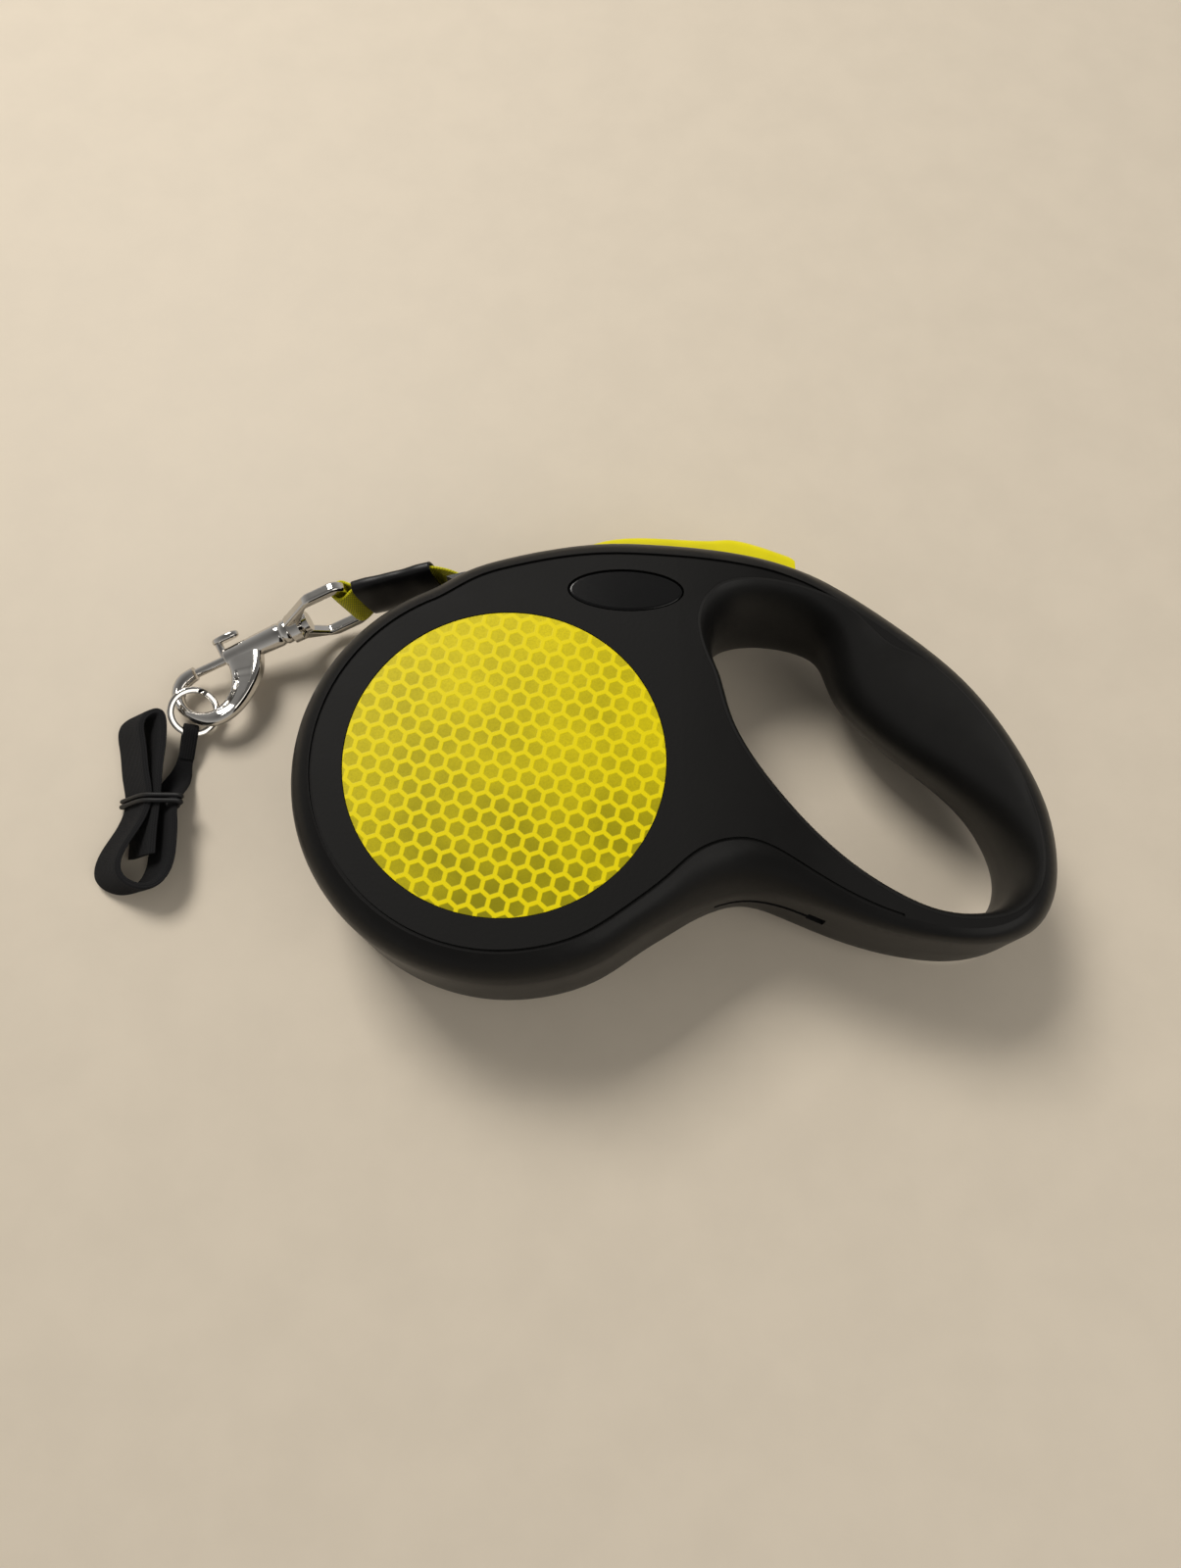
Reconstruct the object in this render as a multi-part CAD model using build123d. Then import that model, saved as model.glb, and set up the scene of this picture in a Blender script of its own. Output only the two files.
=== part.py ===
from build123d import *
import math
import os

# Retractable tape leash, lying on its left face as it is put down on a table.
# Frame: the drum axis is the Z axis, and the table is the plane z = 0. +X points
# along the case toward the handle, +Y toward the brake button. Both case shells
# part on the plane z = PARTING. All sizes are in millimetres.

# Case
HOUSING_RADIUS = 49.5      # drum housing, measured at the parting plane
CASE_DEPTH = 40.0          # over the two faces of the housing
HANDLE_LENGTH = 76.2       # from the housing's rim to the end of the handle
HANDLE_DROP = 40.3         # lowest point of the handle below the drum axis
HANDLE_DEPTH = 31.0        # over the two faces of the handle
BRAKE_ROOM = 8.8           # height of the case top above the housing radius
SLOPE_LENGTH = 48.0        # length over which the faces fall to the handle's depth
SLOPE_LEAD = 9.5           # the fall starts this far inside the housing radius
WALL = 2.3
HOUSING_RIM = 5.6          # width of the rounded rim around the face panel
RIM_STEEPNESS = 1.6        # height of the rounded rim over its width, outside
GRIP_STEEPNESS = 4.4       # the same around the hand hole
FULL_ROUND = 0.93          # largest share of the half depth that a rim rounds
CREST_ANGLE = 72.0         # where the rim's arc meets the face, degrees from upright
RIM_FLARE = 0.9            # how far past its crest the rim's curve runs, as a share of the rim
GROOVE_WIDTH = 0.7
GROOVE_DEPTH = 0.5
GRIP_THICKNESS = 1.8
GRIP_SHELF = 0.6           # flat margin of the grip around its rounded part
FIT = 0.15                 # clearance of pieces that seat in each other
RUN = 0.3                  # clearance of pieces that move past each other

# Outline of the handle and the case top at the parting plane, from the waist
# round the heel to the leash outlet: distance past the housing rim as a share of
# HANDLE_LENGTH, height as a share of the case top or of HANDLE_DROP, rim width.
HANDLE_OUTLINE = [
    (-0.125, -0.825, 7.0), (-0.030, -0.742, 9.3), (0.065, -0.700, 9.2),
    (0.185, -0.732, 5.6), (0.330, -0.842, 3.7), (0.480, -0.937, 2.8),
    (0.625, -0.990, 2.5), (0.770, -0.995, 3.0), (0.895, -0.915, 4.5),
    (0.972, -0.735, 5.8), (1.000, -0.485, 6.2), (0.993, -0.235, 6.3),
    (0.955, 0.010, 6.2), (0.882, 0.210, 6.0), (0.777, 0.412, 6.0),
    (0.635, 0.600, 6.2), (0.488, 0.757, 6.4), (0.330, 0.876, 6.0),
    (0.164, 0.943, 5.8), (-0.007, 0.976, 6.0), (-0.177, 0.995, 6.0),
    (-0.348, 0.999, 5.8), (-0.519, 0.966, 5.2), (-0.677, 0.916, 5.0),
    (-0.812, 0.851, 5.3),
]

# Outline of the hand hole at the parting plane, clockwise, in the same shares.
HAND_HOLE = [
    (-0.003, 0.403, 1.8), (-0.009, 0.520, 3.6), (0.008, 0.612, 5.0),
    (0.050, 0.678, 5.2), (0.118, 0.714, 4.2), (0.197, 0.715, 3.8),
    (0.282, 0.684, 4.2), (0.345, 0.622, 6.0), (0.373, 0.523, 9.5),
    (0.403, 0.395, 13.5), (0.473, 0.264, 16.0), (0.580, 0.130, 16.0),
    (0.698, -0.002, 13.0), (0.787, -0.174, 9.0), (0.844, -0.342, 5.6),
    (0.873, -0.528, 3.6), (0.862, -0.670, 2.6), (0.814, -0.777, 2.0),
    (0.726, -0.826, 1.6), (0.623, -0.810, 1.6), (0.492, -0.702, 1.6),
    (0.358, -0.527, 1.6), (0.224, -0.280, 1.6), (0.108, 0.005, 1.6),
    (0.031, 0.214, 1.6),
]

# Label discs, badges and screws
DISC_RADIUS = 36.2
DISC_THICKNESS = 0.8
DISC_RECESS = 1.0          # depth of the round recess in each face
BADGE_LENGTH = 27.2
BADGE_WIDTH = 10.8
BADGE_RECESS = 1.5
BADGE_AT = (27.6, 42.1)
BADGE_TURN = -2.0          # tilt of the badge's long axis, degrees
SCREW_RADIUS = 1.3
SCREW_HEAD = 2.2           # radius of the head
SCREW_HEAD_DEPTH = 2.0
SCREW_LENGTH = 20.0
SCREW_SINK = 4.5           # depth of the screw heads below the face
BOSS_RADIUS = 2.9
AXLE_SCREW_SHORT = 2.0     # the axle screw ends this far below the parting plane
SCREW_PLACES = [(0.050, -0.520), (0.330, 0.800), (0.400, -0.740), (-0.600, 0.880)]

# Drum, power spring and axle
CHAMBER_GAP = 2.0          # between the drum flanges and the chamber wall
TAPE_WIDTH = 15.0
TAPE_THICKNESS = 0.8
LEASH_LENGTH = 5000.0
HUB_RADIUS = 20.0
HUB_WALL = 2.0
FLANGE_THICKNESS = 1.5
TAPE_PLAY = 0.5            # tape to flange, on each side
RATCHET_TEETH = 24
RATCHET_HEIGHT = 3.5
RATCHET_DEPTH = 3.0
TOOTH_SHARE = 0.42         # share of the tooth pitch that is tooth
AXLE_RADIUS = 5.0
AXLE_BOSS = 8.0            # outer radius of the shell bosses that carry the axle
AXLE_SEAT = 4.0            # depth to which the axle sits in each boss
WASHER_THICKNESS = 0.6
COVER_THICKNESS = 1.5
SPRING_TURNS = 7
SPRING_THICKNESS = 0.5
SPRING_WIDTH = 12.0
SPRING_PLAY = 0.6          # spring edge to drum web
RIB_HEIGHT = 3.0
RIB_THICKNESS = 1.4
RIB_COUNT = 9

# Brake
BUTTON_WIDTH = 13.0
BUTTON_RISE = 7.3          # highest point of the button above the case top
BUTTON_FRONT = -0.500      # front and rear ends, as shares of HANDLE_LENGTH
BUTTON_REAR = 0.280
BRAKE_TRAVEL = 3.2
LOCK_TRAVEL = 4.0
SLIDE_THICKNESS = 2.6
SLIDE_DROP = 7.1           # top of the brake slide below the case top
SLIDE_REAR = 0.140
PAWL_WIDTH = 3.6
PAWL_THICKNESS = 2.6
PAWL_GAP = 1.5             # pawl tip above the ratchet at rest
KEEL_LENGTH = 8.0
KEEL_WIDTH = 4.0
KEEL_AT = 0.23             # front of the keel, as a share of the button's length
SPRING_LEAF = 0.5
SPRING_SPAN = 9.0

# Leash outlet and the exposed end of the tape
OUTLET_ANGLE = 101.0       # place of the outlet on the housing's rim
OUTLET_SPREAD = 17.0       # angle that the insert takes up
OUTLET_LIP = 1.2           # insert's outer face beyond the case outline
OUTLET_SLOT = 2.8
TAPE_SHOWING = 10.5        # tape between the outlet and the end sleeve
SLEEVE_LENGTH = 21.2
SLEEVE_WIDTH = 17.4
SLEEVE_THICKNESS = 4.8
SLEEVE_WALL = 1.0
SLEEVE_TONGUE = 6.0        # how much longer the sleeve's far wall is than its near wall
SLEEVE_HEADING = 188.5     # direction of the retracted tape end, degrees
SLEEVE_DIP = 12.8          # its fall toward the table
TAPE_LEAN = 4.0            # lean of the tape's width from upright
LOOP_ROOM = 0.6            # tape loop to the eye's bar

# Swivel eye and hook
EYE_WIRE = 2.8
EYE_WIDTH = 21.4
EYE_LENGTH = 17.8          # from the bar's middle to the hook
EYE_NECK = 9.6             # width of the eye at its collar
COLLAR_RADIUS = 3.9
COLLAR_LENGTH = 2.6
HOOK_HEADING = 201.7
TIP_HEIGHT = 5.6           # bolt tip above the table
BOLT_REACH = 27.8          # from the swivel to the bolt's tip
BARREL_LENGTH = 19.0
BARREL_RADIUS = 3.3
MOUTH_RADIUS = 2.6
BOLT_RADIUS = 1.2
BOLT_TRAVEL = 6.5
HOOK_THICKNESS = 4.0
PIN_RADIUS = 1.7

# Split ring and folded strap
RING_RADIUS = 5.7          # middle of the ring's wire
RING_WIRE = 1.7            # radial width of the wire
RING_COIL = 1.1            # thickness of each of the two coils
STRAP_WIDTH = 11.0
STRAP_THICKNESS = 1.2
STRAP_LEAN = 50.0          # lean of the strap's width from upright
STRAP_LIFT = 1.6           # lower edge of the folded strap above the table
STRAND_WIDTH = 3.8
STRAND_THICKNESS = 1.0
TIE_WIRE = 0.6             # radius of the elastic tie

# Knob of the hook's bolt
KNOB_LENGTH = 7.4
KNOB_WIDTH = 3.8
KNOB_HEIGHT = 5.2          # from the bolt's axis
KNOB_BACK = 3.3            # from the stem back to the knob's middle
STEM_AT = 19.3
STEM_TURN = 157.0          # direction of the stem about the bolt's axis, degrees

PARTING = CASE_DEPTH / 2
CASE_TOP = HOUSING_RADIUS + BRAKE_ROOM
SLOPE_START = HOUSING_RADIUS - SLOPE_LEAD
REACH = HOUSING_RADIUS + HANDLE_LENGTH
SLICES = 16


def smoothstep(share):
    """Soft step from 0 to 1, level at both ends."""
    share = min(max(share, 0.0), 1.0)
    return share * share * (3 - 2 * share)


def half_depth(x):
    """Height of the case's face above the parting plane at a place along the case."""
    step = smoothstep((x - SLOPE_START) / SLOPE_LENGTH)
    return (CASE_DEPTH + (HANDLE_DEPTH - CASE_DEPTH) * step) / 2


def plan_point(along, across):
    """A point of the handle's plan from its shares of length and height."""
    height = CASE_TOP if across > 0 else HANDLE_DROP
    return Vector(HOUSING_RADIUS + along * HANDLE_LENGTH, across * height)


def polar_point(radius, angle, z=0.0):
    """A point at a radius and an angle in degrees about the drum axis."""
    turn = math.radians(angle)
    return Vector(radius * math.cos(turn), radius * math.sin(turn), z)


def outline_stations():
    """Stations of the case outline, anticlockwise: point and rim width."""
    housing = [(polar_point(HOUSING_RADIUS, angle), HOUSING_RIM) for angle in range(114, 311, 14)]
    return housing + [(plan_point(along, across), rim) for along, across, rim in HANDLE_OUTLINE]


def hole_stations():
    """Stations of the hand hole, clockwise, so that the material lies to the left."""
    return [(plan_point(along, across), rim) for along, across, rim in HAND_HOLE]


def chord_parameters(stations):
    """Curve parameter of each station, and of the closing one, by chord length."""
    points = [point for point, rim in stations]
    values = [0.0]
    for index, point in enumerate(points):
        following = points[(index + 1) % len(points)]
        values.append(values[-1] + (following - point).length)
    return [value / values[-1] for value in values]


def closed_curve(points, stations):
    """Smooth closed curve through one point for each station."""
    return Edge.make_spline(points, periodic=True, parameters=chord_parameters(stations))


def with_normals(stations):
    """Each station with its unit normal, which points left of the travel into the case."""
    curve = closed_curve([point for point, rim in stations], stations)
    result = []
    for point, rim in stations:
        tangent = curve.tangent_at(curve.param_at_point(point))
        result.append((point, Vector(-tangent.Y, tangent.X).normalized(), rim))
    return result


def rim_inset(height, half, rim, steepness):
    """Distance from the outline to the rounded rim at a height above the parting plane."""
    depth = min(steepness * rim, FULL_ROUND * half)
    rise = (height - half + depth) / depth
    if rise <= 0:
        return 0.0
    crest = math.radians(CREST_ANGLE)
    if rise <= 1:
        angle = math.asin(rise * math.sin(crest))
        return rim * (1 - math.cos(angle)) / (1 - math.cos(crest))
    slope = math.tan(crest) * math.sin(crest) / (1 - math.cos(crest))
    return rim * (1 + RIM_FLARE * math.tanh(slope * (rise - 1) / RIM_FLARE))


def rim_loft(stations, steepness):
    """Solid from the parting plane up inside the stations, with its rim rounded."""
    sections = []
    placed = with_normals(stations)
    top = CASE_DEPTH / 2 + 1
    for index in range(SLICES + 1):
        level = top * math.sin(math.pi / 2 * index / SLICES)
        points = []
        for point, normal, rim in placed:
            half = half_depth((point + normal * rim).X)
            shift = rim_inset(level, half, rim, steepness)
            points.append(Vector(0, 0, PARTING + level) + point + normal * shift)
        sections.append(Face(Wire([closed_curve(points, stations)])))
    return loft(sections)


def depth_profile(drop=0.0):
    """Block that holds everything between the parting plane and the upper face."""
    end = SLOPE_START + SLOPE_LENGTH
    housing_top = PARTING + CASE_DEPTH / 2 - drop
    handle_top = PARTING + HANDLE_DEPTH / 2 - drop
    third = SLOPE_LENGTH / 3
    side = [
        Line((-REACH, 0, PARTING), (-REACH, 0, housing_top)),
        Line((-REACH, 0, housing_top), (SLOPE_START, 0, housing_top)),
        Bezier(
            (SLOPE_START, 0, housing_top),
            (SLOPE_START + third, 0, housing_top),
            (end - third, 0, handle_top),
            (end, 0, handle_top),
        ),
        Line((end, 0, handle_top), (2 * REACH, 0, handle_top)),
        Line((2 * REACH, 0, handle_top), (2 * REACH, 0, PARTING)),
        Line((2 * REACH, 0, PARTING), (-REACH, 0, PARTING)),
    ]
    return extrude(make_face(side), amount=REACH, both=True)


def outer_body():
    """Upper half of the case as a solid, without the hand hole."""
    return rim_loft(outline_stations(), RIM_STEEPNESS) & depth_profile()


def mirrored(shape):
    """The same shape on the other side of the parting plane."""
    return mirror(shape, Plane.XY.offset(PARTING))


def block(x_from, x_to, y_from, y_to, z_from, z_to):
    """Box between two corners."""
    size = (x_to - x_from, y_to - y_from, z_to - z_from)
    corner = Pos(x_from, y_from, z_from)
    return corner * Box(*size, align=(Align.MIN, Align.MIN, Align.MIN))


def drum_cylinder(radius, z_from, z_to, place=(0, 0)):
    """Upright cylinder, on the drum axis unless a place is given."""
    aligned = (Align.CENTER, Align.CENTER, Align.MIN)
    return Pos(place[0], place[1], z_from) * Cylinder(radius, z_to - z_from, align=aligned)


# Derived places of the drum, its ratchet and the brake
CHAMBER_RADIUS = HOUSING_RADIUS - WALL + FIT
FLANGE_RADIUS = HOUSING_RADIUS - WALL - CHAMBER_GAP
WINDING_RADIUS = math.sqrt(HUB_RADIUS ** 2 + LEASH_LENGTH * TAPE_THICKNESS / math.pi)
TAPE_LOW = PARTING - TAPE_WIDTH / 2
TAPE_HIGH = PARTING + TAPE_WIDTH / 2
DRUM_LOW = TAPE_LOW - TAPE_PLAY - FLANGE_THICKNESS
DRUM_HIGH = TAPE_HIGH + TAPE_PLAY + FLANGE_THICKNESS
RATCHET_TOP = DRUM_HIGH + RATCHET_HEIGHT
BOSS_LOW = DRUM_LOW - WASHER_THICKNESS - FIT
BOSS_HIGH = DRUM_HIGH + WASHER_THICKNESS + FIT
BUTTON_START = HOUSING_RADIUS + BUTTON_FRONT * HANDLE_LENGTH
BUTTON_END = HOUSING_RADIUS + BUTTON_REAR * HANDLE_LENGTH
SLIDE_TOP = CASE_TOP - SLIDE_DROP
SLIDE_LOW = SLIDE_TOP - SLIDE_THICKNESS
SLIDE_START = BUTTON_START - 2.4
SLIDE_END = HOUSING_RADIUS + SLIDE_REAR * HANDLE_LENGTH
PAWL_AT = BUTTON_START + 2.8
FOOT_DEPTH = 1.3           # how far the button's foot reaches below the slide
SPRING_SEAT = SLIDE_LOW - FOOT_DEPTH - BRAKE_TRAVEL - RUN


def plan_curve(stations, inset_share=0.0, inset=0.0):
    """Closed flat face inside the stations, moved in by a share of the rim and a distance."""
    placed = with_normals(stations)
    points = [point + normal * (rim * inset_share + inset) for point, normal, rim in placed]
    return Face(Wire([closed_curve(points, stations)]))


def prism(face, z_from, z_to):
    """Upright prism over a flat face between two heights."""
    return Pos(0, 0, z_from) * extrude(face, amount=z_to - z_from, dir=(0, 0, 1))


def screw_points():
    """Plan places of the case screws."""
    return [plan_point(along, across) for along, across in SCREW_PLACES]


def tape_path():
    """Start of the tape's straight run off the winding, its direction and its outward normal."""
    outlet_radius = (HOUSING_RADIUS + CASE_TOP) / 2 - FOOT_DEPTH
    run_radius = WINDING_RADIUS + TAPE_THICKNESS / 2 + FIT
    tangent_angle = OUTLET_ANGLE - math.degrees(math.acos(run_radius / outlet_radius))
    start = polar_point(run_radius, tangent_angle, PARTING)
    length = math.sqrt(outlet_radius ** 2 - run_radius ** 2)
    return start, polar_point(1, tangent_angle + 90), polar_point(1, tangent_angle), length


def outlet_block(extra=0.0):
    """Body of the outlet insert, along the tape's run through the housing's rim."""
    start, direction, normal, length = tape_path()
    frame = Plane(start + direction * length, x_dir=direction, z_dir=(0, 0, 1))
    width = OUTLET_SLOT + 3.6 + 2 * extra
    height = TAPE_WIDTH + 5.8 + 2 * extra
    bar = frame.location * Box(26 + 2 * extra, width, height)
    outer = (HOUSING_RADIUS + CASE_TOP) / 2 - FOOT_DEPTH + OUTLET_LIP
    low = PARTING - height / 2
    ring = drum_cylinder(outer + extra, low, low + height)
    bore = drum_cylinder(FLANGE_RADIUS + OUTLET_LIP - extra, low, low + height)
    return bar & (ring - bore)


def grip_zone(extra=0.0):
    """Upright prism that holds the soft grip around the hand hole."""
    edge = plan_curve(hole_stations(), 1.0, GRIP_SHELF + extra)
    return prism(edge, PARTING - 1, PARTING + CASE_DEPTH)


def hollow():
    """Room inside one half of the case: wide at the parting plane, narrower at the face."""
    stations = outline_stations()
    deep = RIM_STEEPNESS * HOUSING_RIM - 2
    wide = prism(plan_curve(stations, 0, WALL), PARTING - 1, PARTING + CASE_DEPTH) & depth_profile(deep)
    narrow = prism(plan_curve(stations, 0.45, WALL), PARTING - 1, PARTING + CASE_DEPTH)
    room = wide + (narrow & depth_profile(WALL))
    return room - grip_zone(WALL)


def chamber_wall(face):
    """Wall between the drum chamber and the handle."""
    ring = ring_at(CHAMBER_RADIUS + WALL / 2, CHAMBER_RADIUS, PARTING, face)
    corners = [Vector(0, 0), polar_point(2 * REACH, -32), polar_point(2 * REACH, 62)]
    return ring & prism(make_face(Polyline(*corners, close=True)), PARTING, face)


def inner_walls():
    """Walls, bosses, guides and ribs inside one half of the case."""
    face = PARTING + CASE_DEPTH / 2
    walls = chamber_wall(face) + drum_cylinder(AXLE_BOSS, BOSS_HIGH, face) + chamber_ribs(face)
    for point in screw_points():
        walls += drum_cylinder(BOSS_RADIUS, PARTING, face, (point.X, point.Y))
    guide_low = PARTING + BUTTON_WIDTH / 2 + RUN + FIT
    guide_start = PAWL_AT + 6
    walls += block(guide_start, SLIDE_END + WALL, SPRING_SEAT - 1.6, CASE_TOP, guide_low, guide_low + 1.6)
    walls += block(guide_start + 9, guide_start + 28, SPRING_SEAT - 1.6, SPRING_SEAT, PARTING, guide_low)
    return walls + accessory_rail()


def accessory_rail():
    """Solid strip behind the accessory slot in the lower arm."""
    band = plan_curve(outline_stations()) - plan_curve(outline_stations(), 0, 3 + WALL)
    start = HOUSING_RADIUS - 4
    keep = block(start, start + 30, -HANDLE_DROP, 0, PARTING, PARTING + 4.5)
    return prism(band, PARTING, PARTING + 4.5) & keep


def accessory_cut():
    """Narrow slot along the lower edge of the arm, with a wider notch at its end."""
    deep = [(-0.020, -0.662), (0.080, -0.628), (0.185, -0.650), (0.268, -0.708)]
    corners = [plan_point(along, across) for along, across in deep]
    corners += [corners[-1] - Vector(0, 9), corners[0] - Vector(0, 9)]
    slot = prism(make_face(Polyline(*corners, close=True)), PARTING - 1, PARTING + 1)
    notch = block(corners[3].X - 0.5, corners[3].X + 3.4, corners[4].Y, corners[3].Y - 0.6, PARTING - 1, PARTING + 2.2)
    return slot + notch


def face_groove():
    """Fine groove where the flat face panel meets the rounded rim."""
    stations = outline_stations()
    band = plan_curve(stations, 1.0, 0.2) - plan_curve(stations, 1.0, 0.2 + GROOVE_WIDTH)
    ring = prism(band, PARTING, PARTING + CASE_DEPTH) - depth_profile(GROOVE_DEPTH)
    top_end = HOUSING_RADIUS + 0.36 * HANDLE_LENGTH
    low_end = HOUSING_RADIUS + 0.50 * HANDLE_LENGTH
    top = block(-REACH, top_end, 0, REACH, PARTING, 2 * CASE_DEPTH)
    low = block(-REACH, low_end, -REACH, 0, PARTING, 2 * CASE_DEPTH)
    return ring & (top + low)


def badge_outline(extra=0.0):
    """Oval of the badge, in plan."""
    oval = Ellipse(BADGE_LENGTH / 2 + extra, BADGE_WIDTH / 2 + extra)
    return Pos(*BADGE_AT) * Rot(0, 0, BADGE_TURN) * oval


def brake_room():
    """Space that the brake slide and the button sweep through in one half of the case."""
    side = PARTING + BUTTON_WIDTH / 2 + RUN
    middle = PAWL_AT + 34
    room = block(SLIDE_START - RUN, middle, SPRING_SEAT, SLIDE_TOP + RUN, PARTING, side)
    low = SLIDE_LOW - BRAKE_TRAVEL - RUN
    room += block(middle - 1, SLIDE_END + RUN, low, SLIDE_TOP + RUN, PARTING, side)
    slot_start = BUTTON_START - LOCK_TRAVEL - RUN
    slot_low = SLIDE_TOP - BRAKE_TRAVEL
    room += block(slot_start, BUTTON_END + RUN, slot_low, CASE_TOP + 5, PARTING, side)
    return room


def shell_half(body):
    """What both case shells share: the upper shell without its screw holes."""
    face = PARTING + CASE_DEPTH / 2
    shell = body - (hollow() - inner_walls())
    shell -= grip_zone(FIT / 3)
    shell -= brake_room()
    shell -= outlet_block(FIT)
    shell -= accessory_cut()
    shell -= drum_cylinder(AXLE_RADIUS + FIT / 3, PARTING, BOSS_HIGH + AXLE_SEAT)
    shell -= drum_cylinder(DISC_RADIUS + FIT, face - DISC_RECESS, face + 1)
    shell -= prism(badge_outline(FIT), face - BADGE_RECESS, face + 1)
    return shell - face_groove()


def chamber_ribs(face):
    """Radial ribs that stiffen the face over the drum."""
    length = DISC_RADIUS + HOUSING_RIM - AXLE_BOSS
    rib = Pos(AXLE_BOSS - 1 + length / 2, 0, face - WALL - RIB_HEIGHT / 2)
    rib *= Box(length, RIB_THICKNESS, RIB_HEIGHT)
    ribs = Part()
    for index in range(RIB_COUNT):
        ribs += Rot(0, 0, 20 + 360 * index / RIB_COUNT) * rib
    return ribs


def screw_seat(point):
    """Height of the seat of a screw's head in the left shell."""
    return PARTING - half_depth(point.X) + SCREW_SINK + SCREW_HEAD_DEPTH


def make_right_shell(shell):
    """Right shell, on top as the leash lies, with pilot holes and the pawl's window."""
    for point in screw_points():
        top = screw_seat(point) + SCREW_LENGTH + 1
        shell -= drum_cylinder(SCREW_RADIUS + FIT / 3, PARTING, top, (point.X, point.Y))
    pawl_low = SLIDE_LOW - FOOT_DEPTH - BRAKE_TRAVEL - RUN
    half = PAWL_WIDTH / 2 + 1.4 + RUN
    window = block(PAWL_AT - half, PAWL_AT + half, pawl_low, SLIDE_TOP + RUN, PARTING, RATCHET_TOP)
    return shell - window


def make_left_shell(half):
    """Left shell, which rests on the table, with the screws' clearance holes."""
    shell = mirrored(half)
    for point in screw_points():
        seat = screw_seat(point)
        place = (point.X, point.Y)
        shell -= drum_cylinder(SCREW_RADIUS + FIT, seat - 0.1, PARTING, place)
        shell -= drum_cylinder(SCREW_HEAD + FIT, -1, seat, place)
    shell -= drum_cylinder(SCREW_RADIUS + FIT, 0, BOSS_LOW)
    return shell - drum_cylinder(SCREW_HEAD + FIT, -1, DISC_RECESS + SCREW_HEAD_DEPTH)


def make_case_screws():
    """The screws that hold the shells together, as a group."""
    screws = Part()
    for point in screw_points():
        seat = screw_seat(point)
        place = (point.X, point.Y)
        head = drum_cylinder(SCREW_HEAD, seat - SCREW_HEAD_DEPTH, seat, place)
        head -= Pos(point.X, point.Y, seat - SCREW_HEAD_DEPTH) * Box(2.8, 0.8, 1.6)
        head -= Pos(point.X, point.Y, seat - SCREW_HEAD_DEPTH) * Box(0.8, 2.8, 1.6)
        screws += head + drum_cylinder(SCREW_RADIUS, seat, seat + SCREW_LENGTH, place)
    return screws


def make_axle_screw():
    """Screw under the left label disc that holds the axle to the left shell."""
    seat = DISC_RECESS + SCREW_HEAD_DEPTH
    head = drum_cylinder(SCREW_HEAD, DISC_RECESS + 0.05, seat)
    head -= Pos(0, 0, DISC_RECESS) * Box(2.8, 0.8, 1.6)
    head -= Pos(0, 0, DISC_RECESS) * Box(0.8, 2.8, 1.6)
    return head + drum_cylinder(SCREW_RADIUS, seat, PARTING - AXLE_SCREW_SHORT)


def make_label_disc():
    """Round label disc in the upper face."""
    low = PARTING + CASE_DEPTH / 2 - DISC_RECESS
    return drum_cylinder(DISC_RADIUS, low, low + DISC_THICKNESS)


def make_badge():
    """Bare domed badge in the upper face."""
    low = PARTING + CASE_DEPTH / 2 - BADGE_RECESS
    badge = prism(badge_outline(), low, low + BADGE_RECESS - 0.1)
    return fillet(badge.edges().group_by(Axis.Z)[-1], 0.8)


def make_grip(body):
    """Upper half of the soft grip around the hand hole, clear of the brake slide."""
    low = SLIDE_LOW - BRAKE_TRAVEL - 2 * RUN
    side = PARTING + BUTTON_WIDTH / 2 + RUN
    room = block(0, SLIDE_END + RUN, low, CASE_TOP, PARTING, side)
    return (body & grip_zone()) - rim_loft(hole_stations(), GRIP_STEEPNESS) - room


def make_outlet():
    """Outlet insert with its tape slot, flared where the tape leaves."""
    start, direction, normal, length = tape_path()
    frame = Plane(start + direction * length, x_dir=direction, z_dir=(0, 0, 1))
    slot = frame.location * Box(40, OUTLET_SLOT, TAPE_WIDTH + 0.8)
    return outlet_block() - slot


def make_catch():
    """Steel catch in the notch at the end of the accessory slot."""
    start = HOUSING_RADIUS + 20.5
    band = plan_curve(outline_stations(), 0, 1.2) - plan_curve(outline_stations(), 0, 1.9)
    leaf = prism(band, PARTING - 2, PARTING + 2)
    leaf &= block(start + FIT, start + 3.4 - FIT, -HANDLE_DROP, 0, PARTING - 2, PARTING + 2)
    return leaf


def ring_at(outer, inner, z_from, z_to):
    """Upright ring on the drum axis."""
    return drum_cylinder(outer, z_from, z_to) - drum_cylinder(inner, z_from, z_to)


def make_axle():
    """Fixed axle that the drum turns on, slotted for the power spring's inner end."""
    axle = drum_cylinder(AXLE_RADIUS, BOSS_LOW - AXLE_SEAT + FIT, BOSS_HIGH + AXLE_SEAT - FIT)
    axle -= drum_cylinder(SCREW_RADIUS + FIT / 3, BOSS_LOW - AXLE_SEAT, PARTING - 1)
    low = PARTING - SPRING_WIDTH / 2
    return axle - block(2, AXLE_RADIUS + 1, -0.4, 0.4, low, DRUM_HIGH)


def make_washer(z_from):
    """Thrust washer between the drum and a shell boss."""
    return ring_at(AXLE_BOSS, AXLE_RADIUS + RUN, z_from, z_from + WASHER_THICKNESS)


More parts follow.
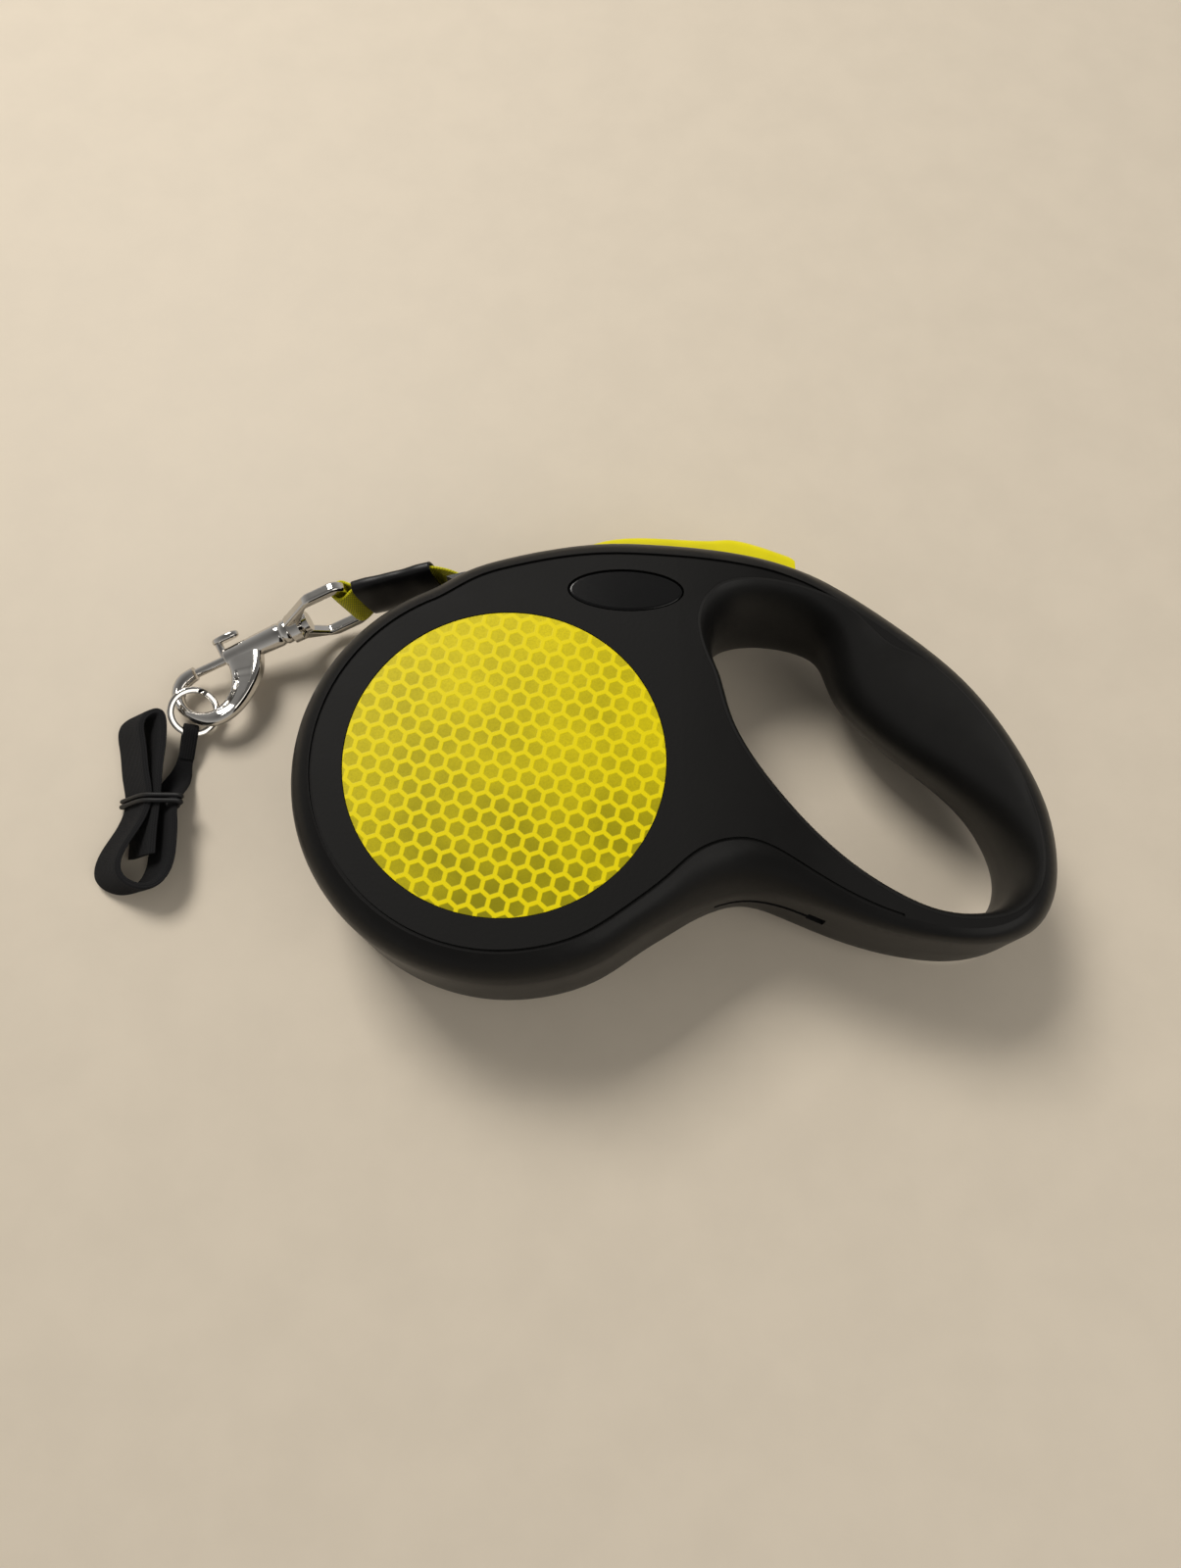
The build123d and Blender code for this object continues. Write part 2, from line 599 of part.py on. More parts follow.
def make_drum():
    """Drum: lower flange, web and the hub that the tape is wound on."""
    web_top = DRUM_LOW + FLANGE_THICKNESS
    drum = drum_cylinder(FLANGE_RADIUS, DRUM_LOW, web_top)
    drum += drum_cylinder(HUB_RADIUS, DRUM_LOW, DRUM_HIGH - FLANGE_THICKNESS)
    drum -= drum_cylinder(HUB_RADIUS - HUB_WALL, web_top, DRUM_HIGH)
    window = drum_cylinder((FLANGE_RADIUS - HUB_RADIUS) / 4, DRUM_LOW, web_top)
    middle = (FLANGE_RADIUS + HUB_RADIUS) / 2
    for index in range(6):
        drum -= Rot(0, 0, 60 * index) * Pos(middle, 0, 0) * window
    return drum - drum_cylinder(AXLE_RADIUS + RUN, DRUM_LOW, web_top)


def make_ratchet_flange():
    """Upper flange with the ring of brake teeth."""
    low = DRUM_HIGH - FLANGE_THICKNESS
    flange = ring_at(FLANGE_RADIUS, HUB_RADIUS - HUB_WALL, low + FIT / 3, DRUM_HIGH)
    inner = FLANGE_RADIUS - 2.4 * RATCHET_DEPTH
    flange += ring_at(FLANGE_RADIUS, inner, DRUM_HIGH, RATCHET_TOP)
    gap_width = 2 * math.pi * FLANGE_RADIUS / RATCHET_TEETH * (1 - TOOTH_SHARE)
    gap = Pos(FLANGE_RADIUS, 0, (DRUM_HIGH + RATCHET_TOP) / 2)
    gap *= Box(2 * RATCHET_DEPTH, gap_width, RATCHET_HEIGHT)
    tip = SLIDE_LOW - FOOT_DEPTH - BRAKE_TRAVEL
    first = math.degrees(math.atan2(tip, PAWL_AT))
    for index in range(RATCHET_TEETH):
        flange -= Rot(0, 0, first + 360 * index / RATCHET_TEETH) * gap
    return flange


def make_spring_cover():
    """Cover that keeps the power spring in the hub."""
    top = DRUM_HIGH - FLANGE_THICKNESS
    inner = AXLE_RADIUS + RUN
    return ring_at(HUB_RADIUS - HUB_WALL - FIT, inner, top - COVER_THICKNESS, top)


def make_power_spring():
    """Spiral power spring, wound between the axle and the hub."""
    inner = AXLE_RADIUS + FIT
    outer = HUB_RADIUS - HUB_WALL - FIT - SPRING_THICKNESS
    steps = 10 * SPRING_TURNS
    near = []
    far = []
    for step in range(steps + 1):
        radius = inner + (outer - inner) * step / steps
        near.append(polar_point(radius, 36 * step))
        far.append(polar_point(radius + SPRING_THICKNESS, 36 * step))
    edges = [Spline(*near), Line(near[-1], far[-1]), Spline(*far), Line(near[0], far[0])]
    spiral = make_face(edges)
    low = DRUM_LOW + FLANGE_THICKNESS + SPRING_PLAY
    return prism(spiral, low, low + SPRING_WIDTH)


def make_tape_winding():
    """The wound tape, as one ring."""
    return ring_at(WINDING_RADIUS, HUB_RADIUS + FIT / 3, TAPE_LOW, TAPE_HIGH)


def keel_start():
    """Front of the button's keel along the case."""
    return BUTTON_START + KEEL_AT * (BUTTON_END - BUTTON_START)


def make_brake_slide():
    """Slide under the button, with the pawl beside the drum's teeth."""
    half = BUTTON_WIDTH / 2 - 0.1
    low, high = PARTING - half, PARTING + half
    slide = block(SLIDE_START, SLIDE_END, SLIDE_LOW, SLIDE_TOP, low, high)
    edge = PAWL_WIDTH / 2 + 1.4
    pawl_high = DRUM_HIGH + RUN + PAWL_THICKNESS
    slide += block(PAWL_AT - edge, PAWL_AT + edge, SLIDE_LOW, SLIDE_TOP, PARTING, pawl_high)
    tip = math.sqrt((FLANGE_RADIUS + PAWL_GAP) ** 2 - PAWL_AT ** 2)
    side = PAWL_WIDTH / 2
    pawl_low = DRUM_HIGH + RUN
    slide += block(PAWL_AT - side, PAWL_AT + side, tip, SLIDE_TOP, pawl_low, pawl_high)
    start = keel_start() - LOCK_TRAVEL - RUN
    end = keel_start() + KEEL_LENGTH + RUN
    keel_half = KEEL_WIDTH / 2 + FIT
    return slide - block(start, end, SLIDE_LOW, SLIDE_TOP, PARTING - keel_half, PARTING + keel_half)


def button_profile():
    """Side outline of the brake button."""
    peak = CASE_TOP + BUTTON_RISE - 0.4
    base = SLIDE_TOP + RUN
    rear = BUTTON_END
    length = BUTTON_END - BUTTON_START
    crown = Spline(
        (BUTTON_START, CASE_TOP - 2.1),
        (BUTTON_START + 0.19 * length, peak - 0.9),
        (BUTTON_START + 0.40 * length, peak),
        (BUTTON_START + 0.65 * length, peak - 0.7),
        (rear - 2.0, peak - 5.0),
        tangents=[(0.55, 1, 0), (1, -0.42, 0)],
    )
    edges = [
        crown,
        Line((rear - 2.0, peak - 5.0), (rear, peak - 7.4)),
        Line((rear, peak - 7.4), (rear, base + 2.2)),
        Line((rear, base + 2.2), (SLIDE_END, base)),
        Line((SLIDE_END, base), (BUTTON_START, base)),
        Line((BUTTON_START, base), (BUTTON_START, CASE_TOP - 2.1)),
    ]
    return make_face(edges)


def make_brake_button():
    """Brake button with the keel that holds it in the slide."""
    half = BUTTON_WIDTH / 2
    button = extrude(Pos(0, 0, PARTING) * button_profile(), amount=half, both=True)
    crown = [edge for edge in button.edges() if edge.center().Y > CASE_TOP and edge.length > 30]
    button = fillet(crown, 2.2)
    start = keel_start()
    end = start + KEEL_LENGTH
    side = KEEL_WIDTH / 2
    low = SLIDE_LOW - RUN
    button += block(start, end, low, SLIDE_TOP + 1, PARTING - side, PARTING + side)
    foot = side + 1.2
    return button + block(start, end, low - FOOT_DEPTH + RUN, low, PARTING - foot, PARTING + foot)


def make_brake_spring():
    """Bowed leaf spring under the brake slide."""
    start = keel_start() + KEEL_LENGTH + 2 * RUN
    end = start + SPRING_SPAN
    middle = (start + end) / 2
    seat = SPRING_SEAT + 0.02
    crest = SLIDE_LOW - 0.05
    leaf = SPRING_LEAF
    edges = [
        ThreePointArc((start, seat), (middle, crest), (end, seat)),
        Line((end, seat), (end - leaf, seat)),
        ThreePointArc((end - leaf, seat), (middle, crest - leaf), (start + leaf, seat)),
        Line((start + leaf, seat), (start, seat)),
    ]
    half = BUTTON_WIDTH / 2 - 1
    return extrude(Pos(0, 0, PARTING) * make_face(edges), amount=half, both=True)


def heading_vector(heading, dip):
    """Unit vector from its heading in plan and its fall toward the table."""
    flat = math.cos(math.radians(dip))
    turn = math.radians(heading)
    return Vector(flat * math.cos(turn), flat * math.sin(turn), -math.sin(math.radians(dip)))


def upright_beside(direction, lean):
    """Upright unit vector square to a direction, then leaned about that direction."""
    up = Vector(0, 0, 1) - direction * direction.Z
    return up.normalized().rotate(Axis((0, 0, 0), direction), lean)


def sleeve_plane():
    """Frame of the end sleeve: origin at its mouth, x along it, z along the tape's width."""
    start, direction, normal, length = tape_path()
    mouth = start + direction * (length + TAPE_SHOWING)
    along = heading_vector(SLEEVE_HEADING, SLEEVE_DIP)
    return Plane(mouth, x_dir=along, z_dir=upright_beside(along, -TAPE_LEAN))


def bar_place():
    """Middle of the swivel eye's bar, in the tape loop beyond the sleeve."""
    plane = sleeve_plane()
    return plane.origin + plane.x_dir * (SLEEVE_LENGTH + EYE_WIRE / 2 + LOOP_ROOM + 1.4)


def hook_direction():
    """Direction of the hook's axis, so that the bolt's tip lies at its height."""
    reach = EYE_LENGTH + BOLT_REACH
    dip = math.degrees(math.asin((bar_place().Z - TIP_HEIGHT) / reach))
    return heading_vector(HOOK_HEADING, dip)


def eye_plane():
    """Frame of the swivel eye: origin at the swivel, x toward the hook, z along the bar."""
    along = hook_direction()
    return Plane(bar_place() + along * EYE_LENGTH, x_dir=along, z_dir=upright_beside(along, 0))


def hook_plane():
    """Frame of the hook: origin at the swivel, x toward the tip, y toward its belly."""
    along = hook_direction()
    return Plane(eye_plane().origin, x_dir=along, z_dir=upright_beside(along, 4))


def in_plane(plane, shape):
    """Place a shape that is drawn in a frame's own coordinates."""
    return plane.location * shape


def tape_section(origin, along, width_dir):
    """Cross-section of the tape as a face."""
    plane = Plane(origin, x_dir=width_dir, z_dir=along)
    return plane.location * Rectangle(TAPE_WIDTH, TAPE_THICKNESS)


def make_tape_lead():
    """Tape from the winding through the outlet and on into the sleeve."""
    start, direction, normal, length = tape_path()
    upright = Vector(0, 0, 1)
    plane = sleeve_plane()
    bend = length + 3
    strip = extrude(tape_section(start, direction, upright), amount=bend, dir=direction)
    inside = 0.35 * SLEEVE_LENGTH
    hidden = extrude(tape_section(plane.origin, plane.x_dir, plane.z_dir), amount=inside, dir=plane.x_dir)
    first = start + direction * bend
    gap = (plane.origin - first).length
    middle = first * 0.5 + plane.origin * 0.5 + (direction - plane.x_dir) * gap * 0.125
    along = (direction + plane.x_dir).normalized()
    width_dir = (upright + plane.z_dir).normalized()
    width_dir = (width_dir - along * width_dir.dot(along)).normalized()
    sections = [
        tape_section(first, direction, upright),
        tape_section(middle, along, width_dir),
        tape_section(plane.origin, plane.x_dir, plane.z_dir),
    ]
    return strip + loft(sections) + hidden


def make_end_sleeve():
    """Flat sleeve over the stitched tape end, cut slanting at its mouth."""
    length = SLEEVE_LENGTH + SLEEVE_TONGUE / 2
    middle = (SLEEVE_LENGTH - SLEEVE_TONGUE / 2) / 2
    body = Pos(middle, 0, 0) * Box(length, SLEEVE_THICKNESS, SLEEVE_WIDTH)
    body = fillet(body.edges().filter_by(Axis.X), 1.6)
    inner = SLEEVE_THICKNESS - 2 * SLEEVE_WALL
    body -= Pos(middle, 0, 0) * Box(length + 1, inner, TAPE_WIDTH + 2 * FIT)
    half = SLEEVE_TONGUE / 2
    side = SLEEVE_THICKNESS / 2
    wedge = Polyline((-half - 1, -side), (-half, -side), (half, side), (half, side + 1), (-half - 1, side + 1))
    wedge = make_face(wedge.edges() + [Line((-half - 1, side + 1), (-half - 1, -side))])
    body -= extrude(wedge, amount=SLEEVE_WIDTH, both=True)
    return in_plane(sleeve_plane(), body)


def loop_half(radius, spread):
    """One side of the tape loop's outline around the bar: the arc's end and the mouth point."""
    distance = EYE_WIRE / 2 + LOOP_ROOM + 1.4
    reach = math.hypot(distance, spread)
    turn = math.acos(radius / reach) + math.atan2(spread, distance)
    return (-radius * math.cos(turn), radius * math.sin(turn)), (-distance, spread)


def loop_outline(radius, spread, tail):
    """Closed face inside one surface of the tape loop."""
    touch, mouth = loop_half(radius, spread)
    low_touch, low_mouth = (touch[0], -touch[1]), (mouth[0], -mouth[1])
    edges = [
        ThreePointArc(touch, (radius, 0), low_touch),
        Line(low_touch, low_mouth),
        Line(low_mouth, (low_mouth[0] - tail, low_mouth[1])),
        Line((mouth[0] - tail, low_mouth[1]), (mouth[0] - tail, mouth[1])),
        Line((mouth[0] - tail, mouth[1]), mouth),
        Line(mouth, touch),
    ]
    return make_face(edges)


def make_tape_loop():
    """Tape loop round the eye's bar, its two layers running back into the sleeve."""
    plane = sleeve_plane()
    inner = EYE_WIRE / 2 + LOOP_ROOM
    spread = TAPE_THICKNESS / 2 + 0.1
    tail = 0.55 * SLEEVE_LENGTH
    outer_face = loop_outline(inner + TAPE_THICKNESS, spread + TAPE_THICKNESS, tail)
    inner_face = loop_outline(inner, spread, tail + 1)
    loop = extrude(outer_face - inner_face, amount=TAPE_WIDTH / 2, both=True)
    frame = Plane(bar_place(), x_dir=plane.x_dir, z_dir=plane.z_dir)
    return in_plane(frame, loop)


def eye_outline(inset):
    """Outline of the swivel eye's ring in its own plane, moved in by a distance."""
    half = EYE_WIDTH / 2 - inset
    neck = EYE_NECK / 2 - inset
    end = -EYE_LENGTH - EYE_WIRE / 2 + inset
    near = -FIT - inset
    shoulder = -EYE_LENGTH / 2 + 0.4 * inset
    points = [(near, -neck), (near, neck), (shoulder, half), (end, half), (end, -half), (shoulder, -half)]
    face = make_face(Polyline(*points, close=True))
    corners = face.vertices().sort_by(Axis.X)[:4]
    return fillet(corners, max(3.6 - inset, 0.8))


def make_swivel_eye():
    """Swivel eye: the ring the tape is sewn round and the collar the hook's pin turns in."""
    ring = eye_outline(0) - eye_outline(EYE_WIRE)
    eye = extrude(ring, amount=EYE_WIRE / 2, both=True)
    rims = [edge for edge in eye.edges() if abs(abs(edge.center().Z) - EYE_WIRE / 2) < 0.01]
    eye = fillet(rims, 0.28 * EYE_WIRE)
    collar = Rot(0, 90, 0) * Cylinder(COLLAR_RADIUS, COLLAR_LENGTH)
    eye += Pos(-FIT - COLLAR_LENGTH / 2, 0, 0) * collar
    eye -= Pos(-EYE_LENGTH / 4, 0, 0) * Rot(0, 90, 0) * Cylinder(PIN_RADIUS + FIT, EYE_LENGTH / 2 + 2)
    plane = eye_plane()
    standing = Rot(-90, 0, 0) * eye
    return in_plane(plane, standing)


def make_swivel_pin():
    """Headed pin that joins the hook to the eye."""
    inside = COLLAR_LENGTH + 9 * FIT
    shank = Pos((2 - inside) / 2, 0, 0) * Rot(0, 90, 0) * Cylinder(PIN_RADIUS, 2 + inside)
    head = Pos(-inside - 0.7, 0, 0) * Rot(0, 90, 0) * Cylinder(2.7, 1.4)
    return in_plane(hook_plane(), shank + head)


def hook_limb():
    """The hook's crescent, drawn about its middle plane."""
    outer = Spline(
        (9.0, 1.5), (10.6, 7.4), (14.5, 12.2), (20.4, 16.2), (26.5, 16.9),
        (32.0, 13.6), (35.6, 8.0), (35.7, 2.6), (32.4, -1.3), (28.3, -1.9),
    )
    inner = Spline(
        (28.3, 1.7), (31.0, 2.6), (32.8, 4.6), (32.6, 8.0), (30.0, 11.3),
        (26.0, 12.8), (22.0, 11.6), (19.3, 8.2), (18.6, 4.0), (18.7, 1.5),
    )
    edges = [outer, Line((28.3, -1.9), (28.3, 1.7)), inner, Line((18.7, 1.5), (9.0, 1.5))]
    limb = extrude(make_face(edges), amount=HOOK_THICKNESS / 2, both=True)
    rims = [edge for edge in limb.edges() if edge.length > 15 and abs(edge.center().Z) > 1]
    limb = fillet(rims, 1.25)
    panel = make_face(Spline((13.0, 4.6), (14.6, 8.6), (19.3, 12.6), (17.3, 9.0), (16.4, 4.6), periodic=True))
    depth = HOOK_THICKNESS / 2 - 0.8
    limb -= Pos(0, 0, 0.8) * extrude(panel, amount=depth, dir=(0, 0, 1))
    return limb - Pos(0, 0, -0.8) * extrude(panel, amount=depth, dir=(0, 0, -1))


def axial(radius, u_from, u_to):
    """Round bar along the hook's axis, in the hook's own frame."""
    return Pos((u_from + u_to) / 2, 0, 0) * Rot(0, 90, 0) * Cylinder(radius, u_to - u_from)


def make_hook_body():
    """Hook body: tapered barrel with the bolt's bore and slot, and the crescent."""
    side = Polyline((0, 0), (0, BARREL_RADIUS), (BARREL_LENGTH, MOUTH_RADIUS), (BARREL_LENGTH, 0), close=True)
    barrel = revolve(make_face(side), Axis.X)
    rim = barrel.edges().group_by(Axis.X)[0]
    barrel = fillet(rim, 0.5)
    hook = barrel + hook_limb()
    floor = STEM_AT - BOLT_TRAVEL - BOLT_RADIUS - 9
    hook -= axial(BOLT_RADIUS + RUN, floor, BARREL_LENGTH + 1)
    hook -= axial(PIN_RADIUS + FIT / 3, -1, 2 + FIT / 3)
    start = STEM_AT - BOLT_TRAVEL - 1.3
    slot = Pos((start + BARREL_LENGTH + 1) / 2, BARREL_RADIUS, 0)
    slot *= Box(BARREL_LENGTH + 1 - start, 2 * BARREL_RADIUS, 2.4)
    hook -= Rot(STEM_TURN, 0, 0) * slot
    return in_plane(hook_plane(), hook)


def make_hook_bolt():
    """Sliding bolt with its thumb knob."""
    bolt = axial(BOLT_RADIUS, STEM_AT - 10, BOLT_REACH)
    stem = Pos(STEM_AT, KNOB_HEIGHT / 2, 0) * Rot(90, 0, 0) * Cylinder(1.0, KNOB_HEIGHT)
    knob = extrude(Ellipse(KNOB_LENGTH / 2, KNOB_WIDTH / 2), amount=0.9, both=True)
    knob = fillet(knob.edges(), 0.7)
    knob = Pos(STEM_AT - KNOB_BACK + 1, KNOB_HEIGHT, 0) * Rot(90, 0, 0) * knob
    bolt += Rot(STEM_TURN, 0, 0) * (stem + knob)
    return in_plane(hook_plane(), bolt)


def make_bolt_spring():
    """Coil spring behind the bolt, as a sleeve of its outer size."""
    floor = STEM_AT - BOLT_TRAVEL - BOLT_RADIUS - 9
    spring = axial(BOLT_RADIUS, floor + 0.05, STEM_AT - 10.05) - axial(BOLT_RADIUS - 0.4, floor, STEM_AT - 10)
    return in_plane(hook_plane(), spring)


def ring_plane():
    """Frame of the split ring: origin at its middle, z along its axis."""
    plane = hook_plane()
    middle = plane.from_local_coords((31.4, 10.5, 0.2))
    axis = plane.z_dir * 0.70 - plane.x_dir * 0.38 + plane.y_dir * 0.60
    return Plane(middle, x_dir=Vector(1, 0, 0) - axis * axis.X, z_dir=axis)


def make_split_ring():
    """Split ring of two flat coils, joined where the wire steps from one to the other."""
    outer = RING_RADIUS + RING_WIRE / 2
    inner = RING_RADIUS - RING_WIRE / 2
    ring = ring_at(outer, inner, -RING_COIL, RING_COIL)
    ring = fillet(ring.edges().filter_by(GeomType.CIRCLE), 0.5)
    split = ring_at(outer + 1, inner - 1, -0.08, 0.08)
    bridge = Rot(0, 0, 60) * block(0, outer + 2, -2, 2, -1, 1)
    return in_plane(ring_plane(), ring - (split - bridge))


def ribbon_face(points, thickness, tangents=None):
    """Flat face of even thickness along a curve through the points."""
    middle = Spline(*points, tangents=tangents) if tangents else Spline(*points)
    steps = 4 * len(points)
    left, right = [], []
    for step in range(steps + 1):
        place = middle.position_at(step / steps)
        tangent = middle.tangent_at(step / steps)
        normal = Vector(-tangent.Y, tangent.X).normalized() * (thickness / 2)
        left.append(place + normal)
        right.append(place - normal)
    edges = [Spline(*left), Line(left[-1], right[-1]), Spline(*right), Line(left[0], right[0])]
    return make_face(edges)


# Run of the folded strap's lower edge in plan, measured from the ring's middle:
# from the free end in the lower loop, up through the waist and the upper loop,
# down and round the lower loop, and up to the end beside the ring.
STRAP_RUN = [
    (-13.0, -38.8), (-13.4, -31.0), (-13.5, -24.3), (-13.9, -16.5), (-14.2, -6.0),
    (-16.5, -0.9), (-19.4, -2.2), (-19.3, -8.8), (-17.2, -17.8), (-15.7, -24.3),
    (-17.5, -31.8), (-20.6, -38.3), (-20.8, -43.3), (-17.0, -46.6), (-11.5, -46.6),
    (-8.8, -43.3), (-8.0, -36.8), (-8.6, -29.8), (-9.1, -24.3), (-7.0, -19.0),
    (-1.6, -15.3), (1.8, -11.4), (2.6, -7.3),
]
WAIST = (-15.7, -9.1, -24.3)   # outer bands of the waist, and its place, from the ring


def strap_lean():
    """Sideways run of the strap's width for each millimetre of height."""
    return math.tan(math.radians(STRAP_LEAN))


def strap_height():
    """Height that the leaning strap takes up."""
    return STRAP_WIDTH * math.cos(math.radians(STRAP_LEAN))


def make_collar_strap():
    """Folded webbing strap, standing on its edge and leaning."""
    centre = ring_plane().origin
    points = [(centre.X + along, centre.Y + across) for along, across in STRAP_RUN]
    band = ribbon_face(points, STRAP_THICKNESS / math.cos(math.radians(STRAP_LEAN)))
    rise = Vector(strap_lean(), 0, 1).normalized()
    return extrude(Pos(0, 0, STRAP_LIFT) * band, amount=STRAP_WIDTH, dir=rise)


def strand_plane():
    """Frame of the strand: origin in the ring's wire, x away from the ring's middle."""
    ring = ring_plane()
    away = (Vector(0, -1, 0) + ring.z_dir * ring.z_dir.Y).normalized()
    return Plane(ring.origin + away * RING_RADIUS, x_dir=away, z_dir=away.cross(ring.z_dir))


def make_strap_strand():
    """Narrow strand of webbing looped round the ring's wire."""
    near = math.hypot(RING_WIRE / 2, RING_COIL) + STRAND_THICKNESS / 2 + 0.06
    turn = 0.72 * near
    points = [
        (6.6, near + 0.5), (4.0, near + 0.3), (0.8, near), (-turn, turn), (-near, 0),
        (-turn, -turn), (0.8, -near), (4.0, -0.3 * near), (6.6, 0.55 * near),
    ]
    strand = extrude(ribbon_face(points, STRAND_THICKNESS), amount=STRAND_WIDTH / 2, both=True)
    return in_plane(strand_plane(), strand)


def make_strap_tie():
    """Elastic tie, two turns round the waist of the folded strap, with its knot."""
    centre = ring_plane().origin
    left, right, across = WAIST
    side = STRAP_THICKNESS / 2 / math.cos(math.radians(STRAP_LEAN)) + 3 * FIT
    low = STRAP_LIFT - FIT
    high = STRAP_LIFT + strap_height() + FIT
    shift = strap_lean() * strap_height()
    corners = [
        (left - side, low), (right + side, low),
        (right + side + shift, high), (left - side + shift, high),
    ]
    inner = make_face(Polyline(*corners, close=True))
    outer = offset(inner, 2 * TIE_WIRE)
    turn = extrude(outer - inner, amount=TIE_WIRE, both=True)
    turn = Rot(90, 0, 0) * turn
    tie = Pos(0, 1.6 * TIE_WIRE, 0) * turn + Pos(0, -1.6 * TIE_WIRE, 0) * turn
    knot = Pos(right + side + shift * 0.7 + 2.6 * TIE_WIRE, 0, low + 0.7 * (high - low))
    tie += knot * Sphere(2.6 * TIE_WIRE)
    inside = Rot(90, 0, 0) * extrude(inner, amount=6 * TIE_WIRE, both=True)
    return Pos(centre.X, centre.Y + across, 0) * (tie - inside)


BODY_HALF = outer_body()
CASE_HALF = shell_half(BODY_HALF)
GRIP_HALF = make_grip(BODY_HALF)

NODES = {
    "left_shell": make_left_shell(CASE_HALF),
    "right_shell": make_right_shell(CASE_HALF),
    "left_grip": mirrored(GRIP_HALF),
    "right_grip": GRIP_HALF,
    "left_label_disc": mirrored(make_label_disc()),
    "right_label_disc": make_label_disc(),
    "left_badge": mirrored(make_badge()),
    "right_badge": make_badge(),
    "leash_outlet": make_outlet(),
    "case_screws": make_case_screws(),
    "axle": make_axle(),
    "axle_screw": make_axle_screw(),
    "left_washer": make_washer(BOSS_LOW + FIT / 2),
    "right_washer": make_washer(DRUM_HIGH + FIT / 2),
    "brake_spring": make_brake_spring(),
    "accessory_catch": make_catch(),
    "drum": make_drum(),
    "ratchet_flange": make_ratchet_flange(),
    "spring_cover": make_spring_cover(),
    "power_spring": make_power_spring(),
    "tape_winding": make_tape_winding(),
    "brake_slide": make_brake_slide(),
    "brake_button": make_brake_button(),
    "tape_lead": make_tape_lead(),
    "end_sleeve": make_end_sleeve(),
    "tape_loop": make_tape_loop(),
    "swivel_eye": make_swivel_eye(),
    "swivel_pin": make_swivel_pin(),
    "hook_body": make_hook_body(),
    "hook_bolt": make_hook_bolt(),
    "bolt_spring": make_bolt_spring(),
    "split_ring": make_split_ring(),
    "collar_strap": make_collar_strap(),
    "strap_strand": make_strap_strand(),
    "strap_tie": make_strap_tie(),
}

os.makedirs("parts", exist_ok=True)
for name, shape in NODES.items():
    export_step(shape, f"parts/{name}.step")
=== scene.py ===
"""Looks of a retractable tape leash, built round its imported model.

The moulded parts, films, eye, pin and bolt keep their solids and get finishes. The hook,
its coiled ring, the sleeve and the soft parts (strap, strand, tie, tape and tape loop)
are surfaces worked out here. Sizes in the classes are millimetres and degrees. Meshes,
shader coordinates and the studio are in metres. TRIM is how much narrower tape and
strand are drawn than they are.
"""

import logging
import math
from dataclasses import dataclass
from enum import Enum
from typing import Any, Callable, ClassVar, Dict, List, Optional, Tuple, Union

import bpy
import numpy as np
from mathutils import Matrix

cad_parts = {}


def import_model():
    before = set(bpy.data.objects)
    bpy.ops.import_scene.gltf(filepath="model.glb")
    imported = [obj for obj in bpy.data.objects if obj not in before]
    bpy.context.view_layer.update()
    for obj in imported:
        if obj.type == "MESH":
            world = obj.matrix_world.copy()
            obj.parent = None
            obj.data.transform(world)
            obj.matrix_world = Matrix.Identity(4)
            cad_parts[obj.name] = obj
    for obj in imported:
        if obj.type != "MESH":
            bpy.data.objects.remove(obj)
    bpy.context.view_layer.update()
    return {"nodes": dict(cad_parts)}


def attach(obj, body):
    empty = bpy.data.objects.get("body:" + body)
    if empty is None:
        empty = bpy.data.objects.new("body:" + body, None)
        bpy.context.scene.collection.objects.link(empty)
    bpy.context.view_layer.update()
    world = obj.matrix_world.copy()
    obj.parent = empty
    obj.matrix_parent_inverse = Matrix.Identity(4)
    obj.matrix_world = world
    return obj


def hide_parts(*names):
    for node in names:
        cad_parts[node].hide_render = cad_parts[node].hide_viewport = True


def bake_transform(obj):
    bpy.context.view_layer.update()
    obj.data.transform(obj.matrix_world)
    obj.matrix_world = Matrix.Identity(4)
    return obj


MM = 0.001
SHARP_EDGE = 50.0
SPLINE_STEPS = 40
FINE_STEPS = 2000
TRIM = 0.1
Array = np.ndarray
Piece = bpy.types.Object
Pair = Tuple[float, float]
Counts = Tuple[int, int]
Point = Tuple[float, float, float]
Colour = Tuple[float, float, float]
Outline = Tuple[Pair, ...]
UPRIGHT: Point = (0.0, 0.0, 1.0)
RING_CENTRE: Point = (-84.245, 25.229, 5.807)

log = logging.getLogger("leash")


# ---- shader maths


def operation(name: str, swapped: bool = False) -> Callable[..., "Signal"]:
    """Makes a method of Signal that adds one Math node.

    Args:
        name: Blender's name of the operation.
        swapped: whether the signal itself comes last.

    Returns:
        The method, which takes the other values and returns the node's result.
    """
    def apply(signal: "Signal", *others: "Value") -> "Signal":
        """Adds the node."""
        values = (*others, signal) if swapped else (signal, *others)
        return signal.graph.node("ShaderNodeMath", dict(enumerate(values)), operation=name)

    return apply


